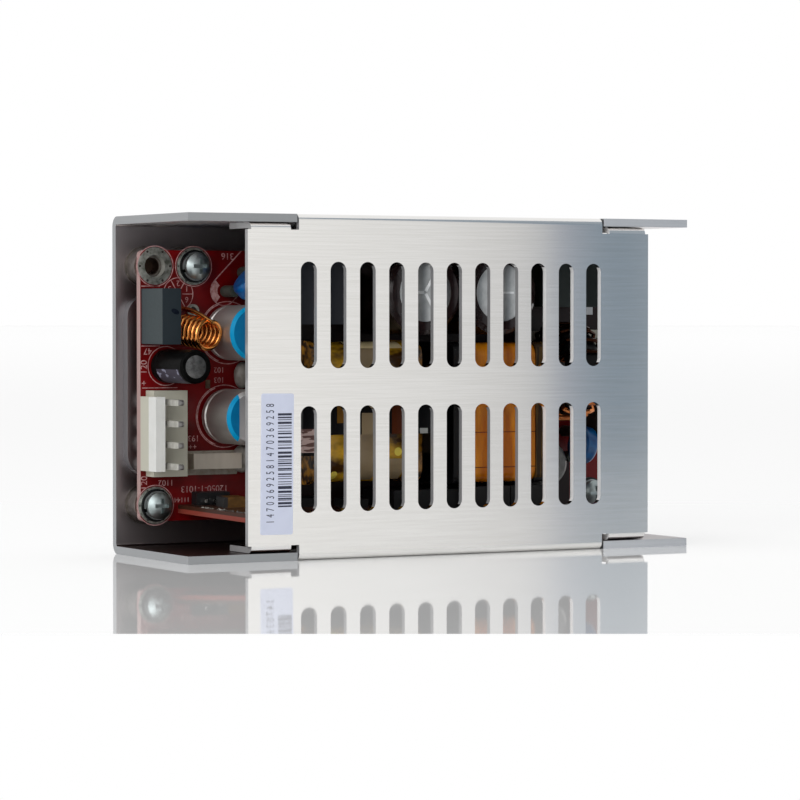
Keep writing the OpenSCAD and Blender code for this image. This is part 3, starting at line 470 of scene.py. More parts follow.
def ink_line(bm, start, end, width=ink_line_width):
    """Flat strip between two places."""
    a, b = Vector((*start, 0)), Vector((*end, 0))
    turn = Matrix.Rotation(math.atan2(b.y - a.y, b.x - a.x), 4, "Z")
    shape = Matrix.Translation((a + b) / 2) @ turn @ Matrix.Diagonal(((b - a).length, width, 1, 1))
    bmesh.ops.create_grid(bm, x_segments=1, y_segments=1, size=0.5, matrix=shape)


def ink_digits(bm, digits, place, size, turn=180, squeeze=1):
    """Plain figures, centred on a place, turned by degrees and narrowed."""
    words = bpy.data.curves.new("digits", "FONT")
    words.body = digits
    words.size = size
    words.align_x = "CENTER"
    words.align_y = "CENTER"
    holder = bpy.data.objects.new("digits", words)
    scene.collection.objects.link(holder)
    bpy.context.view_layer.update()
    written = holder.evaluated_get(bpy.context.evaluated_depsgraph_get())
    flat_digits = bpy.data.meshes.new_from_object(written)
    narrowed = Matrix.Diagonal((squeeze, 1, 1, 1))
    turned = Matrix.Rotation(math.radians(turn), 4, "Z")
    flat_digits.transform(Matrix.Translation((*place, 0)) @ turned @ narrowed)
    bm.from_mesh(flat_digits)
    bpy.data.objects.remove(holder)
    bpy.data.curves.remove(words)
    bpy.data.meshes.remove(flat_digits)


def thicken(bm, height, faces=None):
    """Raises some or all flat faces to a closed slab."""
    raised = bmesh.ops.extrude_face_region(bm, geom=faces or bm.faces[:], use_keep_orig=True)
    top = [v for v in raised["geom"] if isinstance(v, bmesh.types.BMVert)]
    bmesh.ops.translate(bm, verts=top, vec=(0, 0, height))


def board_point(corner):
    """A corner of a node's box in board millimetres."""
    return BOARD.inverted() @ corner


def grained_finish(name, grains, tones, roughness, metallic=0.0, limits=(0.35, 0.65), **sockets):
    """A finish that runs between two tones, with grains as object_noise takes them."""
    finish, tree, shader = new_finish(name, tones[1], roughness, metallic, **sockets)
    tint_by(tree, shader, object_noise(tree, grains), *tones, *limits)
    return finish, tree, shader


def direction(degrees):
    """A step of one millimetre on the board, turned from its length."""
    turn = math.radians(degrees)
    return Vector((math.cos(turn), math.sin(turn)))


ink_finish, _, _ = grained_finish("white_ink", 1500, ((0.36, 0.15, 0.15), (0.58, 0.36, 0.35)), 0.6)

pad_ring_radius = 3.75
date_wheel = Vector((7.8, 42.6))
date_wheel_radius, date_hub_radius, date_digit_radius = 3.05, 0.9, 2.05
small_cap_place = (5.2, 29.1)
small_cap_ring_radius = 3.65
polymer_places = ((17.4, 19.5), (18.1, 35.3))
polymer_ring_radius = 5.9
film_corner, film_far = (board_point(corner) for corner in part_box("film_capacitor"))
disc_mark = Vector((17.3, 43.2))
disc_mark_radius = 2.75
disc_slant = 45
markings = (
    ("47", (1.5, 31.9), 1.7, 180), ("102", (16.3, 28.3), 1.5, 180), ("103", (16.3, 26.4), 1.5, 180),
    ("11", (7.9, 38.9), 1.3, 180), ("316", (18.1, 49.8), 1.8, 180), ("193", (10.95, 15.45), 1.6, 180),
    ("++", (10.75, 13.9), 1.5, 180), ("1102", (5.2, 7.2), 1.6, 180),
    ("12050-1-1013", (13.2, 5.9), 1.75, 180), ("11144", (8.5, 3.9), 1.3, 180),
    ("120", (0.75, 28.9), 1.8, 90), ("+", (0.8, 25.9), 1.8, 90), ("120", (0.75, 7.2), 1.8, 90),
)
header_line = ((0.3, 25.0), (7.6, 25.0))
short_line = ((10.75, 4.95), (10.75, 3.2))

bm = bmesh.new()
for pad in earth_pads:
    ink_arc(bm, pad, pad_ring_radius)
ink_arc(bm, date_wheel, date_wheel_radius)
for i in range(6):
    spoke = direction(60 * i)
    ink_line(bm, date_wheel + date_hub_radius * spoke, date_wheel + date_wheel_radius * spoke)
    ink_digits(bm, str(i + 1), date_wheel + date_digit_radius * direction(60 * i + 30), 1.5)
for edge_y in (film_far.y + 0.45, film_corner.y - 0.35):
    ink_line(bm, (film_corner.x, edge_y), (film_far.x, edge_y))
ink_arc(bm, small_cap_place, small_cap_ring_radius)
for place in polymer_places:
    ink_arc(bm, place, polymer_ring_radius)
    ink_arc(bm, place, polymer_ring_radius - 0.25, 110, 140, 0.2)
ink_arc(bm, disc_mark, disc_mark_radius, 130, 195)
ink_arc(bm, disc_mark, disc_mark_radius - 0.7, 130, 105, 1.4)
for side in (-1, 1):
    start = disc_mark + side * disc_mark_radius * direction(disc_slant + 90)
    ink_line(bm, start, start + 8 * direction(disc_slant), 0.22)
ink_line(bm, *header_line)
ink_line(bm, *short_line)
for digits, place, size, turn in markings:
    ink_digits(bm, digits, place, size, turn)
thicken(bm, ink_thick)
add_piece("board_printing", bm, ink_finish)

# ----------------------------------------------------------------------
# Earth pads: tinned copper rings with small vias round the fastening holes.
# One eyelet of the same tin stands by the coil.
tin_finish, tree, shader = new_finish("tinned_copper", (0.34, 0.34, 0.31), 0.32, 1.0)
tin_spots = object_noise(tree, 1300, 5)
tint_by(tree, shader, tin_spots, (0.20, 0.21, 0.18), (0.46, 0.46, 0.42))
vary_roughness(tree, shader, tin_spots, 0.24, 0.50)
emboss(tree, shader, tin_spots, 0.00005, 0.5)
pad_radius = 3.5
pad_thick = 0.05
eyelet_place = Vector((10.75, 39.5))
eyelet_radius = 0.95
eyelet_wall = 0.5
eyelet_height = 0.45

bm = bmesh.new()
for pad in earth_pads:
    ink_arc(bm, pad, (pad_radius + hole_radius) / 2, width=pad_radius - hole_radius)
thicken(bm, pad_thick)
ink_arc(bm, eyelet_place, eyelet_radius, width=eyelet_wall)
reach = eyelet_radius + eyelet_wall
thicken(bm, eyelet_height, [f for f in bm.faces if (f.verts[0].co.xy - eyelet_place).length < reach])
add_piece("earth_pads", bm, tin_finish, 40)

# Each via is a disc of painted shade just over the tin, where its hole is, and so is the mouth of the
# eyelet.
via_shade_finish, _, _ = grained_finish("via_hole", 4000, ((0.012, 0.01, 0.01), (0.04, 0.03, 0.025)), 0.6)
via_radius = 0.24
via_circle_radius = 3.1
via_height = pad_thick + 0.02
mouth_radius = 0.7
via_thick = 0.01
discs = [(eyelet_place, mouth_radius, 20)]
for pad in earth_pads:
    discs += [(Vector(pad) + via_circle_radius * direction(60 * i), via_radius, 14) for i in range(6)]
bm = bmesh.new()
for centre, radius, sides in discs:
    spot = Matrix.Translation((*centre, via_height))
    bmesh.ops.create_circle(bm, cap_ends=True, segments=sides, radius=radius, matrix=spot)
thicken(bm, via_thick)
add_piece("pad_vias", bm, via_shade_finish)

# ----------------------------------------------------------------------
# Standoffs: turned steel pressed into the base from inside; the board's screws turn in them.
# The one that stays empty has painted shade in its bore, which a small disc closes at its far end.
standoff_finish, tree, shader = grained_finish(
    "dull_standoff", 700, ((0.16, 0.145, 0.13), (0.26, 0.24, 0.22)), 0.34, 1.0
)
bore_radius = 1.5
bore_end_depth = 4.2
bore_end_thick = 0.4
bore_shade = near_axis(tree, row_axis(earth_pads[0]), (bore_radius + 0.1) * MM)
# Painted shade in the empty bore.
paint_over(tree, shader, bore_shade, (0.06, 0.04, 0.03))
finish_node("standoffs", standoff_finish)

bm = bmesh.new()
bore_end = Matrix.Translation((*earth_pads[0], -bore_end_depth))
end_radius = bore_radius - 0.02
bmesh.ops.create_cone(
    bm, cap_ends=True, segments=40, radius1=end_radius, radius2=end_radius, depth=bore_end_thick,
    matrix=bore_end,
)
add_piece("standoff_bore_end", bm, standoff_finish, 40)

# ----------------------------------------------------------------------
# Fastening: zinc plated pan head screws with split and flat washers, and the cover's screws.
# The plating has a cold tone; painted shade darkens the heads' rims, the seam at each head's foot and the
# seam between the washers.
flat_washer_thick = 0.5
lock_washer_thick = 0.8
rim_height = 0.8
seam_height = 0.22
zinc_finish, tree, shader = grained_finish(
    "zinc_plate", 500, ((0.27, 0.31, 0.31), (0.38, 0.43, 0.43)), 0.40, 1.0
)
vary_roughness(tree, shader, object_noise(tree, 900), 0.34, 0.46)
depth = coordinates(tree)["Y"]
head_foot = board_low.y - (flat_washer_thick + lock_washer_thick) * MM
# Painted shade on each head's rim, deepest in the seam at its foot.
head_rim_shade = calculate(tree, "GREATER_THAN", depth, head_foot - rim_height * MM)
paint_over(tree, shader, head_rim_shade, (0.20, 0.225, 0.225))
head_seam_shade = calculate(tree, "GREATER_THAN", depth, head_foot - seam_height * MM)
paint_over(tree, shader, head_seam_shade, (0.015, 0.016, 0.016))
for node in ("board_screws", "cover_screws"):
    finish_node(node, zinc_finish)
washer_finish, tree, shader = grained_finish(
    "dull_zinc", 900, ((0.30, 0.325, 0.325), (0.50, 0.53, 0.53)), 0.34, 1.0
)
depth = coordinates(tree)["Y"]
# Painted shade in the seam between the flat and the split washer.
seam_front = board_low.y - (flat_washer_thick + 0.25) * MM
seam_back = board_low.y - (flat_washer_thick - 0.05) * MM
washer_seam_shade = all_of(
    tree, calculate(tree, "GREATER_THAN", depth, seam_front), calculate(tree, "LESS_THAN", depth, seam_back)
)
paint_over(tree, shader, washer_seam_shade, (0.03, 0.032, 0.032))
for node in ("lock_washers", "flat_washers"):
    finish_node(node, washer_finish)

# ----------------------------------------------------------------------
# Headers: white nylon mouldings with square tinned pins, soldered behind the board.
# The low base of each has painted shade, darker and yellower than its tall lock wall; the pins' tin is
# darker, as painted shade, and their tips darker still.
nylon_finish, tree, shader = grained_finish(
    "white_nylon", 300, ((0.64, 0.645, 0.62), (0.69, 0.69, 0.67)), 0.42,
    Subsurface_Weight=0.1, Subsurface_Radius=(0.001, 0.0009, 0.0007),
)
header_base_height = 3.65
base_front = board_low.y - header_base_height * MM
header_base_shade = calculate(tree, "GREATER_THAN", coordinates(tree)["Y"], base_front)
# Painted shade on the low base, in the shadow of the lock wall.
paint_over(tree, shader, header_base_shade, (0.47, 0.46, 0.38))
for node in ("output_header", "input_header"):
    finish_node(node, nylon_finish)

pin_finish, _, _ = grained_finish("bright_tin", 700, ((0.50, 0.50, 0.48), (0.72, 0.72, 0.70)), 0.22, 1.0)
for node in ("control_pins", "solder_joints"):
    finish_node(node, pin_finish)
# A darker copy of the tin, as painted shade, for the header pins and the control board's solder.
shaded_tin_finish, tree, shader = grained_finish(
    "shaded_tin", 700, ((0.38, 0.37, 0.33), (0.52, 0.51, 0.47)), 0.42, 0.5
)
pin_tip_length = 0.9
tip_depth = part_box("output_pins")[0].y + pin_tip_length * MM
pin_tips = calculate(tree, "LESS_THAN", coordinates(tree)["Y"], tip_depth)
paint_over(tree, shader, pin_tips, (0.16, 0.155, 0.15))
for node in ("output_pins", "input_pins"):
    finish_node(node, shaded_tin_finish)

# ----------------------------------------------------------------------
# Box film capacitors: moulded epoxy boxes with small edge radii, with painted shade on the first one's
# front and painted light on the others' fronts.
# The one at the output end has a moulding mark on its front.


def box_finish(name, color, front_light_and_shade):
    """Moulded epoxy of one colour, with a second tone on the face towards the cover as painted light and
    shade.
    """
    finish, tree, shader = new_finish(name, color, 0.45, Specular_IOR_Level=0.18)
    grain = object_noise(tree, 1800)
    tint_by(tree, shader, grain, [c * 0.93 for c in color], [c * 1.06 for c in color])
    emboss(tree, shader, grain, 0.00001, 0.3)
    front = calculate(tree, "LESS_THAN", face_direction(tree)["Y"], -0.7)
    # Painted light and shade on the face towards the cover.
    paint_over(tree, shader, front, front_light_and_shade)
    return finish


for node, name, color, front_light_and_shade in (
    ("film_capacitor", "slate_box", (0.028, 0.040, 0.044), (0.016, 0.024, 0.030)),
    ("resonant_capacitor", "dark_slate_box", (0.02, 0.024, 0.03), (0.026, 0.028, 0.036)),
    ("line_capacitor", "green_grey_box", (0.02, 0.026, 0.025), (0.026, 0.034, 0.034)),
):
    finish_node(node, box_finish(name, color, front_light_and_shade))

mark_finish, _, _ = grained_finish(
    "moulding_mark", 2500, ((0.003, 0.005, 0.012), (0.008, 0.012, 0.02)), 0.6, Specular_IOR_Level=0.03
)
mark_radius = 0.85
mark_thick = 0.02
bm = bmesh.new()
mark_place = Vector((film_far.x - 1.2, film_far.y - 4.3, film_corner.z))
mark_oval = Matrix.Rotation(math.radians(-25), 4, "Z") @ Matrix.Diagonal((1, 0.55, 1, 1))
mark_shape = Matrix.Translation(mark_place) @ mark_oval
bmesh.ops.create_circle(bm, cap_ends=True, segments=24, radius=mark_radius, matrix=mark_shape)
thicken(bm, mark_thick)
add_piece("moulding_mark", bm, mark_finish)

# ----------------------------------------------------------------------
# Output coil: six turns of enamelled copper wire, wound on nothing, with both ends soldered.
# Its axis leans towards the middle of the board and a little down.
# The line choke is wound with the same wire, which lies in shade at the top of the board.
copper_finish, _, _ = grained_finish(
    "enamelled_copper", 600, ((0.60, 0.22, 0.05), (0.80, 0.34, 0.10)), 0.20, 1.0
)
choke_copper, tree, shader = grained_finish(
    "shaded_copper", 600, ((0.42, 0.13, 0.04), (0.66, 0.24, 0.08)), 0.3, 1.0
)
shaded_turns = board_field(tree, (60, 27), (board_length, board_width))
paint_over(tree, shader, shaded_turns, (0.035, 0.012, 0.006))
finish_node("line_choke_windings", choke_copper)


def tube(bm, points, radius, sides=12):
    """Round wire along a list of points, closed at both ends."""
    rings = []
    side = None
    for i, point in enumerate(points):
        along = (points[min(i + 1, len(points) - 1)] - points[max(i - 1, 0)]).normalized()
        side = along.orthogonal() if side is None else side - side.dot(along) * along
        side.normalize()
        other = along.cross(side)
        angles = [2 * math.pi * k / sides for k in range(sides)]
        around = [math.cos(a) * side + math.sin(a) * other for a in angles]
        rings.append([bm.verts.new(point + radius * step) for step in around])
    for ring, following in zip(rings, rings[1:]):
        for k in range(sides):
            n = (k + 1) % sides
            bm.faces.new((ring[k], ring[n], following[n], following[k]))
    bm.faces.new(list(reversed(rings[0])))
    bm.faces.new(rings[-1])


coil_place = Vector((7.9, 35.95, 2.2))
coil_across = 6.1
coil_wire = 0.9
coil_radius = (coil_across - coil_wire) / 2
coil_pitch = 1.2
coil_turns = 6.25
coil_steps = 28
lead_bow = 0.5
coil_lean = Matrix.Rotation(math.radians(9), 4, "X") @ Matrix.Rotation(math.radians(16), 4, "Y")


def coil_point(turns):
    """Middle of the wire after so many turns."""
    a = 2 * math.pi * turns
    spiral = Vector((coil_radius * math.cos(a), coil_radius * math.sin(a), coil_pitch * turns))
    return coil_place + coil_lean @ spiral


foot, top = coil_point(0), coil_point(coil_turns)
lead_end = Vector((top.x - 2 * coil_wire, coil_place.y + coil_radius + 1.6 * coil_wire, 0))
points = [Vector((foot.x, foot.y, 0)), Vector((foot.x, foot.y, foot.z * 0.6))]
points += [coil_point(i / coil_steps) for i in range(1, round(coil_steps * coil_turns) + 1)]
for t in (0.06, 0.15, 0.3, 0.5, 0.7, 0.85, 1):
    bow = Vector((0, lead_bow * math.sin(math.pi * t), 0))
    points.append(top.lerp(lead_end, t) + bow)
bm = bmesh.new()
tube(bm, points, coil_wire / 2)
coil = add_piece("smooth_coil", bm, copper_finish, 40)
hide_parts("output_coil")

# ----------------------------------------------------------------------
# Small electrolytic capacitor: drawn can in a black sleeve with a paler polarity stripe.
# The stripe runs along the lower side, with faint marks, and two scores cross the can's top.
dark_can_finish, tree, shader = new_finish("dull_can", (0.24, 0.24, 0.24), 0.36, 1.0)
tint_by(tree, shader, object_noise(tree, 900, 5), (0.11, 0.11, 0.11), (0.24, 0.24, 0.24))
finish_node("small_can", dark_can_finish)
small_score_reach = 1.8
small_score_thick = 0.1
score_sink = 0.03
bm = bmesh.new()
for turn in (20, 140):
    reach = small_score_reach * direction(turn)
    ink_line(bm, Vector(small_cap_place) - reach, Vector(small_cap_place) + reach, 0.2)
thicken(bm, small_score_thick)
small_can_top = board_point(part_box("small_can")[0]).z
bmesh.ops.translate(bm, verts=bm.verts, vec=(0, 0, small_can_top - score_sink))
add_piece("small_vent_scores", bm, dark_can_finish)

sleeve_finish, tree, shader = grained_finish(
    "black_sleeve", 900, ((0.002, 0.002, 0.002), (0.005, 0.005, 0.005)), 0.3, Specular_IOR_Level=0.015
)
stripe_top, stripe_foot = 12.2, 2.4
stripe_edge, marks_edge = 0.5, 2.1
place = coordinates(tree)
sleeve_axis = BOARD @ Vector((*small_cap_place, 0))
striped = all_of(
    tree,
    calculate(tree, "LESS_THAN", place["Z"], sleeve_axis.z - stripe_edge * MM),
    calculate(tree, "GREATER_THAN", place["Y"], sleeve_axis.y - stripe_top * MM),
    calculate(tree, "LESS_THAN", place["Y"], sleeve_axis.y - stripe_foot * MM),
)
paint_over(tree, shader, striped, (0.05, 0.045, 0.06))
marks = calculate(tree, "GREATER_THAN", object_noise(tree, (900, 700, 900), 1), 0.60)
marked_row = calculate(tree, "GREATER_THAN", place["Z"], sleeve_axis.z - marks_edge * MM)
paint_over(tree, shader, all_of(tree, striped, marks, marked_row), (0.20, 0.20, 0.26))
finish_node("small_sleeve", sleeve_finish)

# ----------------------------------------------------------------------
# Polymer capacitors: bare cans on a black rubber bung, the top lacquered blue on one side.
# The lacquer is paler over the rim, as a painted highlight.
polymer_finish, tree, shader = grained_finish(
    "polymer_can", (300, 60, 300), ((0.52, 0.50, 0.48), (0.64, 0.62, 0.60)), 0.5, 1.0
)
polymer_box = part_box("polymer_capacitors")
polymer_height = board_point(polymer_box[0]).z
top_depth = polymer_box[0].y + 0.1 * MM
polymer_tops = calculate(tree, "LESS_THAN", coordinates(tree)["Y"], top_depth)
paint_over(tree, shader, polymer_tops, (0.66, 0.66, 0.67))
finish_node("polymer_capacitors", polymer_finish)
rubber_finish, tree, shader = new_finish("black_rubber", (0.02, 0.02, 0.02), 0.7)
emboss(tree, shader, object_noise(tree, 3000), 0.00003, 0.4)
finish_node("polymer_bungs", rubber_finish)

polymer_rows = polymer_places[1][1] - polymer_places[0][1]
polymer_radius = (polymer_box[1].z - polymer_box[0].z) / MM / 2 - polymer_rows / 2
rim_radius = polymer_radius * 0.9
blue_finish, tree, shader = grained_finish(
    "blue_lacquer", 500, ((0.0, 0.16, 0.37), (0.0, 0.19, 0.42)), 0.30, Specular_IOR_Level=0.12
)
on_tops = [near_axis(tree, row_axis(spot), rim_radius * MM) for spot in polymer_places]
rim_highlight = calculate(tree, "SUBTRACT", 1, calculate(tree, "MAXIMUM", *on_tops))
paint_over(tree, shader, rim_highlight, (0.0, 0.28, 0.54))
lacquer_chords = (2.9, 1.2)
lacquer_depth = 0.7
lacquer_thick = 0.04
lacquer_middle = polymer_height - lacquer_depth / 2 + lacquer_thick
bm = bmesh.new()
for spot, lacquer_chord in zip(polymer_places, lacquer_chords):
    cap = bmesh.ops.create_cone(
        bm, cap_ends=True, segments=96, radius1=polymer_radius + 0.05, radius2=rim_radius,
        depth=lacquer_depth, matrix=Matrix.Translation((*spot, lacquer_middle)),
    )
    near = {g for v in cap["verts"] for g in (v, *v.link_edges, *v.link_faces)}
    cut_away = bmesh.ops.bisect_plane(
        bm, geom=list(near), plane_co=(spot[0] - lacquer_chord, spot[1], 0), plane_no=(1, 0, 0),
        clear_outer=True,
    )
    bmesh.ops.holes_fill(bm, edges=[g for g in cut_away["geom_cut"] if isinstance(g, bmesh.types.BMEdge)])
add_piece("lacquer_caps", bm, blue_finish, 30)

# ----------------------------------------------------------------------
# Current shunt: a flat bar of dull alloy over a tan foot plate.
# The bar's face is lighter and darker in bands across it; the line choke's foot plate is tan too.
shunt_finish, _, _ = grained_finish(
    "shunt_alloy", (250, 80, 80), ((0.56, 0.51, 0.44), (0.68, 0.63, 0.55)), 0.40, 1.0
)
finish_node("shunt_bar", shunt_finish)
base_finish, _, _ = grained_finish("tan_base", 900, ((0.24, 0.21, 0.17), (0.36, 0.33, 0.28)), 0.5)
for node in ("shunt_base", "line_choke_base"):
    finish_node(node, base_finish)

# ----------------------------------------------------------------------
# Adhesive: two beads of grey white silicone that hold parts beside the cover.
# They were squeezed on by hand and have an uneven skin.
adhesive_finish, tree, shader = grained_finish(
    "silicone_bead", 500, ((0.22, 0.20, 0.18), (0.38, 0.36, 0.33)), 0.5, Specular_IOR_Level=0.3
)
emboss(tree, shader, object_noise(tree, 400), 0.0003, 0.6)
bead_places = ((20.3, 11.4, 1.5), (20.6, 27.2, 1.0))
bead_reaches = ((1.8, 2.6, 2.2), (1.5, 2.5, 1.6))
bm = bmesh.new()
for centre, reach in zip(bead_places, bead_reaches):
    bead = Matrix.Translation(centre) @ Matrix.Diagonal((*reach, 1))
    bmesh.ops.create_icosphere(bm, subdivisions=4, radius=1, matrix=bead)
add_piece("adhesive_beads", bm, adhesive_finish, 60)

# ----------------------------------------------------------------------
# Disc capacitors: dipped blue discs whose leads run in dark green sleeves.
# The coating is glossy, and the sleeves are satin.
disc_finish, _, _ = grained_finish("blue_dip", 500, ((0.0, 0.05, 0.20), (0.0, 0.12, 0.36)), 0.3)
finish_node("disc_capacitors", disc_finish)
leg_finish, _, _ = grained_finish("green_sleeve", 900, ((0.032, 0.042, 0.034), (0.06, 0.07, 0.058)), 0.45)
finish_node("disc_leads", leg_finish)

# ----------------------------------------------------------------------
# Control board: a small board that stands on the main one and leans a little.
# Its cut edge is brown red, with painted shade on the half towards the main board's middle.
# Solder dots stand along the slanted edge.
control_finish, tree, shader, cut = resist_finish("control_resist", (0.24, 0.045, 0.03))
control_tilt = math.radians(3.2)
control_place = (7.7, 3.0)
control_slant = 5.3
control_height = 18
dark_depth = 0.75
place = coordinates(tree)
height_off = calculate(tree, "SUBTRACT", board_low.y, place["Y"])
lean = calculate(tree, "MULTIPLY", height_off, math.tan(control_tilt))
upright_z = calculate(tree, "ADD", place["Z"], lean)
inner_z = row_axis(control_place)[1] - dark_depth * MM
shaded_half = calculate(tree, "GREATER_THAN", upright_z, inner_z)
paint_over(tree, shader, all_of(tree, cut, shaded_half), (0.05, 0.018, 0.010))
finish_node("control_board", control_finish)

CONTROL = BOARD @ Matrix.Translation((*control_place, 0)) @ Matrix.Rotation(control_tilt, 4, "X")
dot_count = 44
dot_maker = random.Random(4)
bm = bmesh.new()
for i in range(dot_count):
    along_edge = dot_maker.uniform(0.30, 0.98)
    inward = dot_maker.uniform(0.2, 1.7)
    radius = dot_maker.uniform(0.08, 0.2)
    spot = (control_slant * along_edge + inward, 0, control_height * along_edge)
    bmesh.ops.create_icosphere(bm, subdivisions=2, radius=radius, matrix=Matrix.Translation(spot))
add_piece("control_solder", bm, shaded_tin_finish, 60, CONTROL)

# ----------------------------------------------------------------------
# Tantalum capacitor: a gold brown moulded block on the control board.
# Its end towards the output is a dark terminal.
tantalum_finish, tree, shader = grained_finish(
    "gold_brown_resin", 900, ((0.10, 0.045, 0.006), (0.17, 0.08, 0.015)), 0.45
)
terminal_length = 0.8
terminal_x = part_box("tantalum_capacitor")[0].x + terminal_length * MM
terminal = calculate(tree, "LESS_THAN", coordinates(tree)["X"], terminal_x)
paint_over(tree, shader, terminal, (0.03, 0.03, 0.03))
finish_node("tantalum_capacitor", tantalum_finish)

# ----------------------------------------------------------------------
# Black mouldings: the power devices, and the control board's header and chips.
# They are matt, with a fine moulded grain; the chip resistors are brown and lie flat.
black_finish, tree, shader = new_finish(
    "black_moulding", (0.010, 0.010, 0.011), 0.45, Specular_IOR_Level=0.3
)
emboss(tree, shader, object_noise(tree, 2500), 0.00003, 0.4)
for node in ("bridge_rectifier", "power_transistors", "control_header", "control_chips"):
    finish_node(node, black_finish)
chip_finish, _, _ = grained_finish("brown_chip", 1500, ((0.03, 0.018, 0.012), (0.14, 0.09, 0.05)), 0.4)
finish_node("chip_resistors", chip_finish)

# ----------------------------------------------------------------------
# Fuse and thermistor: a glossy grey moulding and a dipped grey brown disc.
# Both stand near the input header.
fuse_finish, _, _ = grained_finish("grey_fuse", 500, ((0.18, 0.18, 0.17), (0.28, 0.28, 0.27)), 0.25)
finish_node("fuse", fuse_finish)
dip_finish, tree, shader = new_finish("thermistor_dip", (0.07, 0.06, 0.05), 0.5)
emboss(tree, shader, object_noise(tree, 1500), 0.00005, 0.5)
finish_node("thermistor", dip_finish)

# ----------------------------------------------------------------------
# Chokes: dark sintered ferrite cores, the boost choke's wound with brown tape in bands.
# Glossy orange tape covers its winding, with two dark joints across.
ferrite_color = (0.005, 0.005, 0.006)


def sintered_finish(name):
    """Ferrite with a fine grain."""
    finish, tree, shader = new_finish(name, ferrite_color, 0.42, Specular_IOR_Level=0.15)
    emboss(tree, shader, object_noise(tree, 2000), 0.00003, 0.5)
    return finish, tree, shader


ferrite_finish, _, _ = sintered_finish("ferrite")
finish_node("line_choke_core", ferrite_finish)

taped_finish, tree, shader = new_finish("taped_ferrite", ferrite_color, 0.35, Specular_IOR_Level=0.15)
core_tape = board_field(tree, (71.5, 7.4), (77.4, 34.0))
bands = calculate(tree, "GREATER_THAN", object_noise(tree, (900, 90, 90), 1), 0.5)
paint_over(tree, shader, core_tape, (0.10, 0.055, 0.012))
paint_over(tree, shader, all_of(tree, core_tape, bands), (0.035, 0.018, 0.006))
finish_node("choke_core", taped_finish)

# The tape's tone runs light and dark in upright bands, as painted highlights and shade.
orange_finish, tree, shader = grained_finish(
    "orange_tape", (320, 40, 60), ((0.50, 0.13, 0.0), (0.98, 0.36, 0.015)), 0.25, Specular_IOR_Level=0.2
)
emboss(tree, shader, object_noise(tree, (500, 200, 200)), 0.0002, 0.4)
joint_half = 0.09
for joint in (16.3, 9.6):
    low, high = (50, joint - joint_half), (80, joint + joint_half)
    paint_fields(tree, shader, (low, high, (0.16, 0.03, 0.0)))
finish_node("choke_winding", orange_finish)

# ----------------------------------------------------------------------
# Transformer: ferrite core on a brown bobbin, its winding under crinkled amber tape.
# Beige tape, stranded wire and a small pale block show on the core, which fields of tone give.
wrapped_finish, tree, shader = sintered_finish("wrapped_ferrite")
beige = (0.36, 0.27, 0.16)
paint_fields(
    tree, shader,
    ((35.2, 7.6), (40.4, 20.4), beige),
    ((30.0, 18.6), (34.6, 22.0), (0.22, 0.10, 0.01)),
    ((41.6, 15.0), (44.4, 22.0), (0.10, 0.02, 0.004)),
    ((47.6, 13.9), (49.3, 17.4), (0.50, 0.52, 0.50)),
)
stranded = board_field(tree, (20, 13.2), (28.6, 17.6))
strands = calculate(tree, "GREATER_THAN", object_noise(tree, (300, 300, 1500), 1), 0.5)
paint_over(tree, shader, stranded, (0.16, 0.09, 0.08))
paint_over(tree, shader, all_of(tree, stranded, strands), (0.60, 0.45, 0.42))
finish_node("transformer_core", wrapped_finish)

amber_finish, tree, shader = grained_finish(
    "amber_tape", (160, 260, 260), ((0.06, 0.022, 0.003), (0.85, 0.48, 0.03)), 0.20,
    limits=(0.40, 0.66), Specular_IOR_Level=0.25,
)
emboss(tree, shader, object_noise(tree, (120, 500, 500)), 0.0003, 0.6)
# Beige tape pieces, and a painted highlight along the winding's upper edge.
paint_fields(
    tree, shader,
    ((35.2, 7.6), (40.4, 32.4), beige),
    ((42.6, 7.6), (46.2, 11.6), beige),
    ((34.8, 32.4), (46.6, 34.6), (0.90, 0.74, 0.42)),
)
# Two glints, painted highlights on the tape.
glint_radius = 0.8
for glint in ((31.7, 8.6), (44.8, 12.9)):
    paint_over(tree, shader, near_axis(tree, row_axis(glint), glint_radius * MM), (1.0, 0.80, 0.12))
finish_node("transformer_winding", amber_finish)

bobbin_finish, _, _ = grained_finish(
    "brown_bobbin", 600, ((0.015, 0.006, 0.003), (0.36, 0.16, 0.015)), 0.35, limits=(0.42, 0.62)
)
finish_node("transformer_bobbin", bobbin_finish)

# ----------------------------------------------------------------------
# Bulk capacitors: cans in dark brown sleeves, with vent scores pressed into their tops.
# One score has three arms, the other is a straight line.
can_finish, _, _ = grained_finish("drawn_can", 300, ((0.36, 0.37, 0.37), (0.56, 0.57, 0.57)), 0.34, 1.0)
finish_node("bulk_cans", can_finish)
brown_finish, _, _ = grained_finish(
    "brown_sleeve", 500, ((0.014, 0.007, 0.008), (0.028, 0.014, 0.014)), 0.2, Specular_IOR_Level=0.4
)
finish_node("bulk_sleeves", brown_finish)

bulk_low, bulk_high = (board_point(corner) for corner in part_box("bulk_cans"))
bulk_radius = (bulk_high.y - bulk_low.y) / 2
bulk_middle_y = (bulk_high.y + bulk_low.y) / 2
score_reach = 2.8
score_thick = 0.12
# The scores are paler than the can, as painted light.
lit_score_finish, _, _ = grained_finish(
    "pressed_score", 900, ((0.80, 0.81, 0.81), (0.92, 0.92, 0.92)), 0.3, 1.0
)
bm = bmesh.new()
first_middle = Vector((bulk_low.x + bulk_radius, bulk_middle_y))
second_middle = Vector((bulk_high.x - bulk_radius, bulk_middle_y))
for i in range(3):
    ink_line(bm, first_middle, first_middle + score_reach * direction(180 + 120 * i), 0.55)
half_line = score_reach * direction(0)
ink_line(bm, second_middle - half_line, second_middle + half_line, 0.4)
bmesh.ops.translate(bm, verts=bm.verts, vec=(0, 0, bulk_low.z - score_sink))
thicken(bm, score_thick)
add_piece("vent_scores", bm, lit_score_finish)
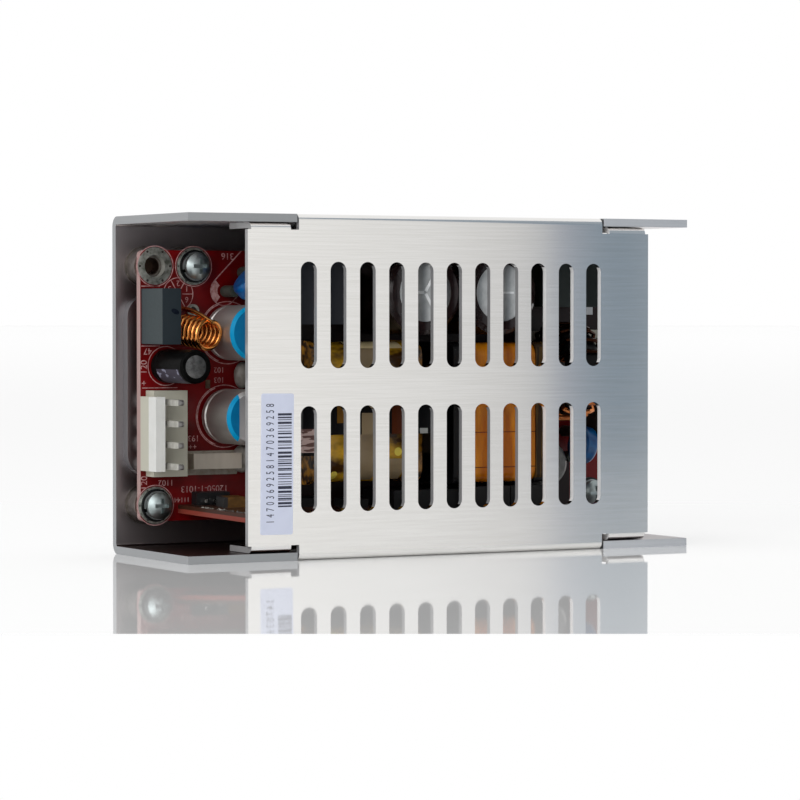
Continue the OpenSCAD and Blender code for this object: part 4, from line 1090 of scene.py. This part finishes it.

# ----------------------------------------------------------------------
# Cover: aluminium sheet, brushed along its length, with two rows of slots.
# Deburring rounds its edges lightly; the slots' cut walls are dull, with painted light on them in the last
# columns.
cover_finish, tree, shader = new_finish(
    "brushed_cover", (0.80, 0.79, 0.77), 0.08, 1.0, Anisotropic=0.9, Anisotropic_Rotation=0.25
)
brushing = object_noise(tree, (70, 3600, 3600), 3, 0.6)
tint_by(tree, shader, brushing, (0.785, 0.775, 0.755), (0.835, 0.825, 0.81))
vary_roughness(tree, shader, object_noise(tree, (110, 1100, 1100)), 0.07, 0.11)
last_slots_x = 18 * MM
cut = calculate(tree, "GREATER_THAN", calculate(tree, "ABSOLUTE", face_direction(tree)["X"]), 0.8)
paint_over(tree, shader, cut, (0.26, 0.26, 0.265))
# Painted light on the cut walls of the last columns.
lit_last_slots = calculate(tree, "GREATER_THAN", coordinates(tree)["X"], last_slots_x)
paint_over(tree, shader, all_of(tree, cut, lit_last_slots), (0.80, 0.80, 0.80))
tree.links.new(calculate(tree, "SUBTRACT", 1, cut), shader.inputs["Metallic"])
finish_node("cover", cover_finish)
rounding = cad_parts["cover"].modifiers.new("deburred_edges", "BEVEL")
rounding.width = 0.12 * MM
rounding.segments = 2
rounding.limit_method = "ANGLE"
rounding.angle_limit = math.radians(50)

# ----------------------------------------------------------------------
# Label: printed film on the cover, with generic bars and plain numbers.
# The print is dark blue, in a column of bars and a column of digits.
label_finish, _, _ = grained_finish("label_film", 200, ((0.58, 0.62, 0.76), (0.62, 0.66, 0.80)), 0.35)
finish_node("label", label_finish)
label_low, label_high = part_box("label")
LABEL = sheet_frame(label_low)
label_wide = (label_high.x - label_low.x) / MM
label_tall = (label_high.z - label_low.z) / MM
bar_start, bar_end = label_wide * 0.52, label_wide * 0.93
bar_foot, bar_head = 5.2, label_tall - 3.6
digit_count = 20
digit_pitch = 1.12
digit_foot = 2.4
digit_size = 2.3
digit_squeeze = 0.55
digit_column = label_wide * 0.30
print_thick = 0.012
print_finish, _, _ = grained_finish("label_print", 3000, ((0.008, 0.01, 0.03), (0.02, 0.024, 0.05)), 0.5)
bar_maker = random.Random(7)
bm = bmesh.new()
height = bar_foot
while height < bar_head:
    bar = bar_maker.choice((0.14, 0.14, 0.28, 0.42))
    ink_line(bm, (bar_start, height), (bar_end, height), bar)
    height += bar + bar_maker.choice((0.14, 0.28, 0.28, 0.42))
for i in range(digit_count):
    figure = str((i * 3 + 1) % 10)
    spot = (digit_column, digit_foot + i * digit_pitch)
    ink_digits(bm, figure, spot, digit_size, 90, digit_squeeze)
thicken(bm, print_thick)
add_piece("label_printing", bm, print_finish, matrix=LABEL)
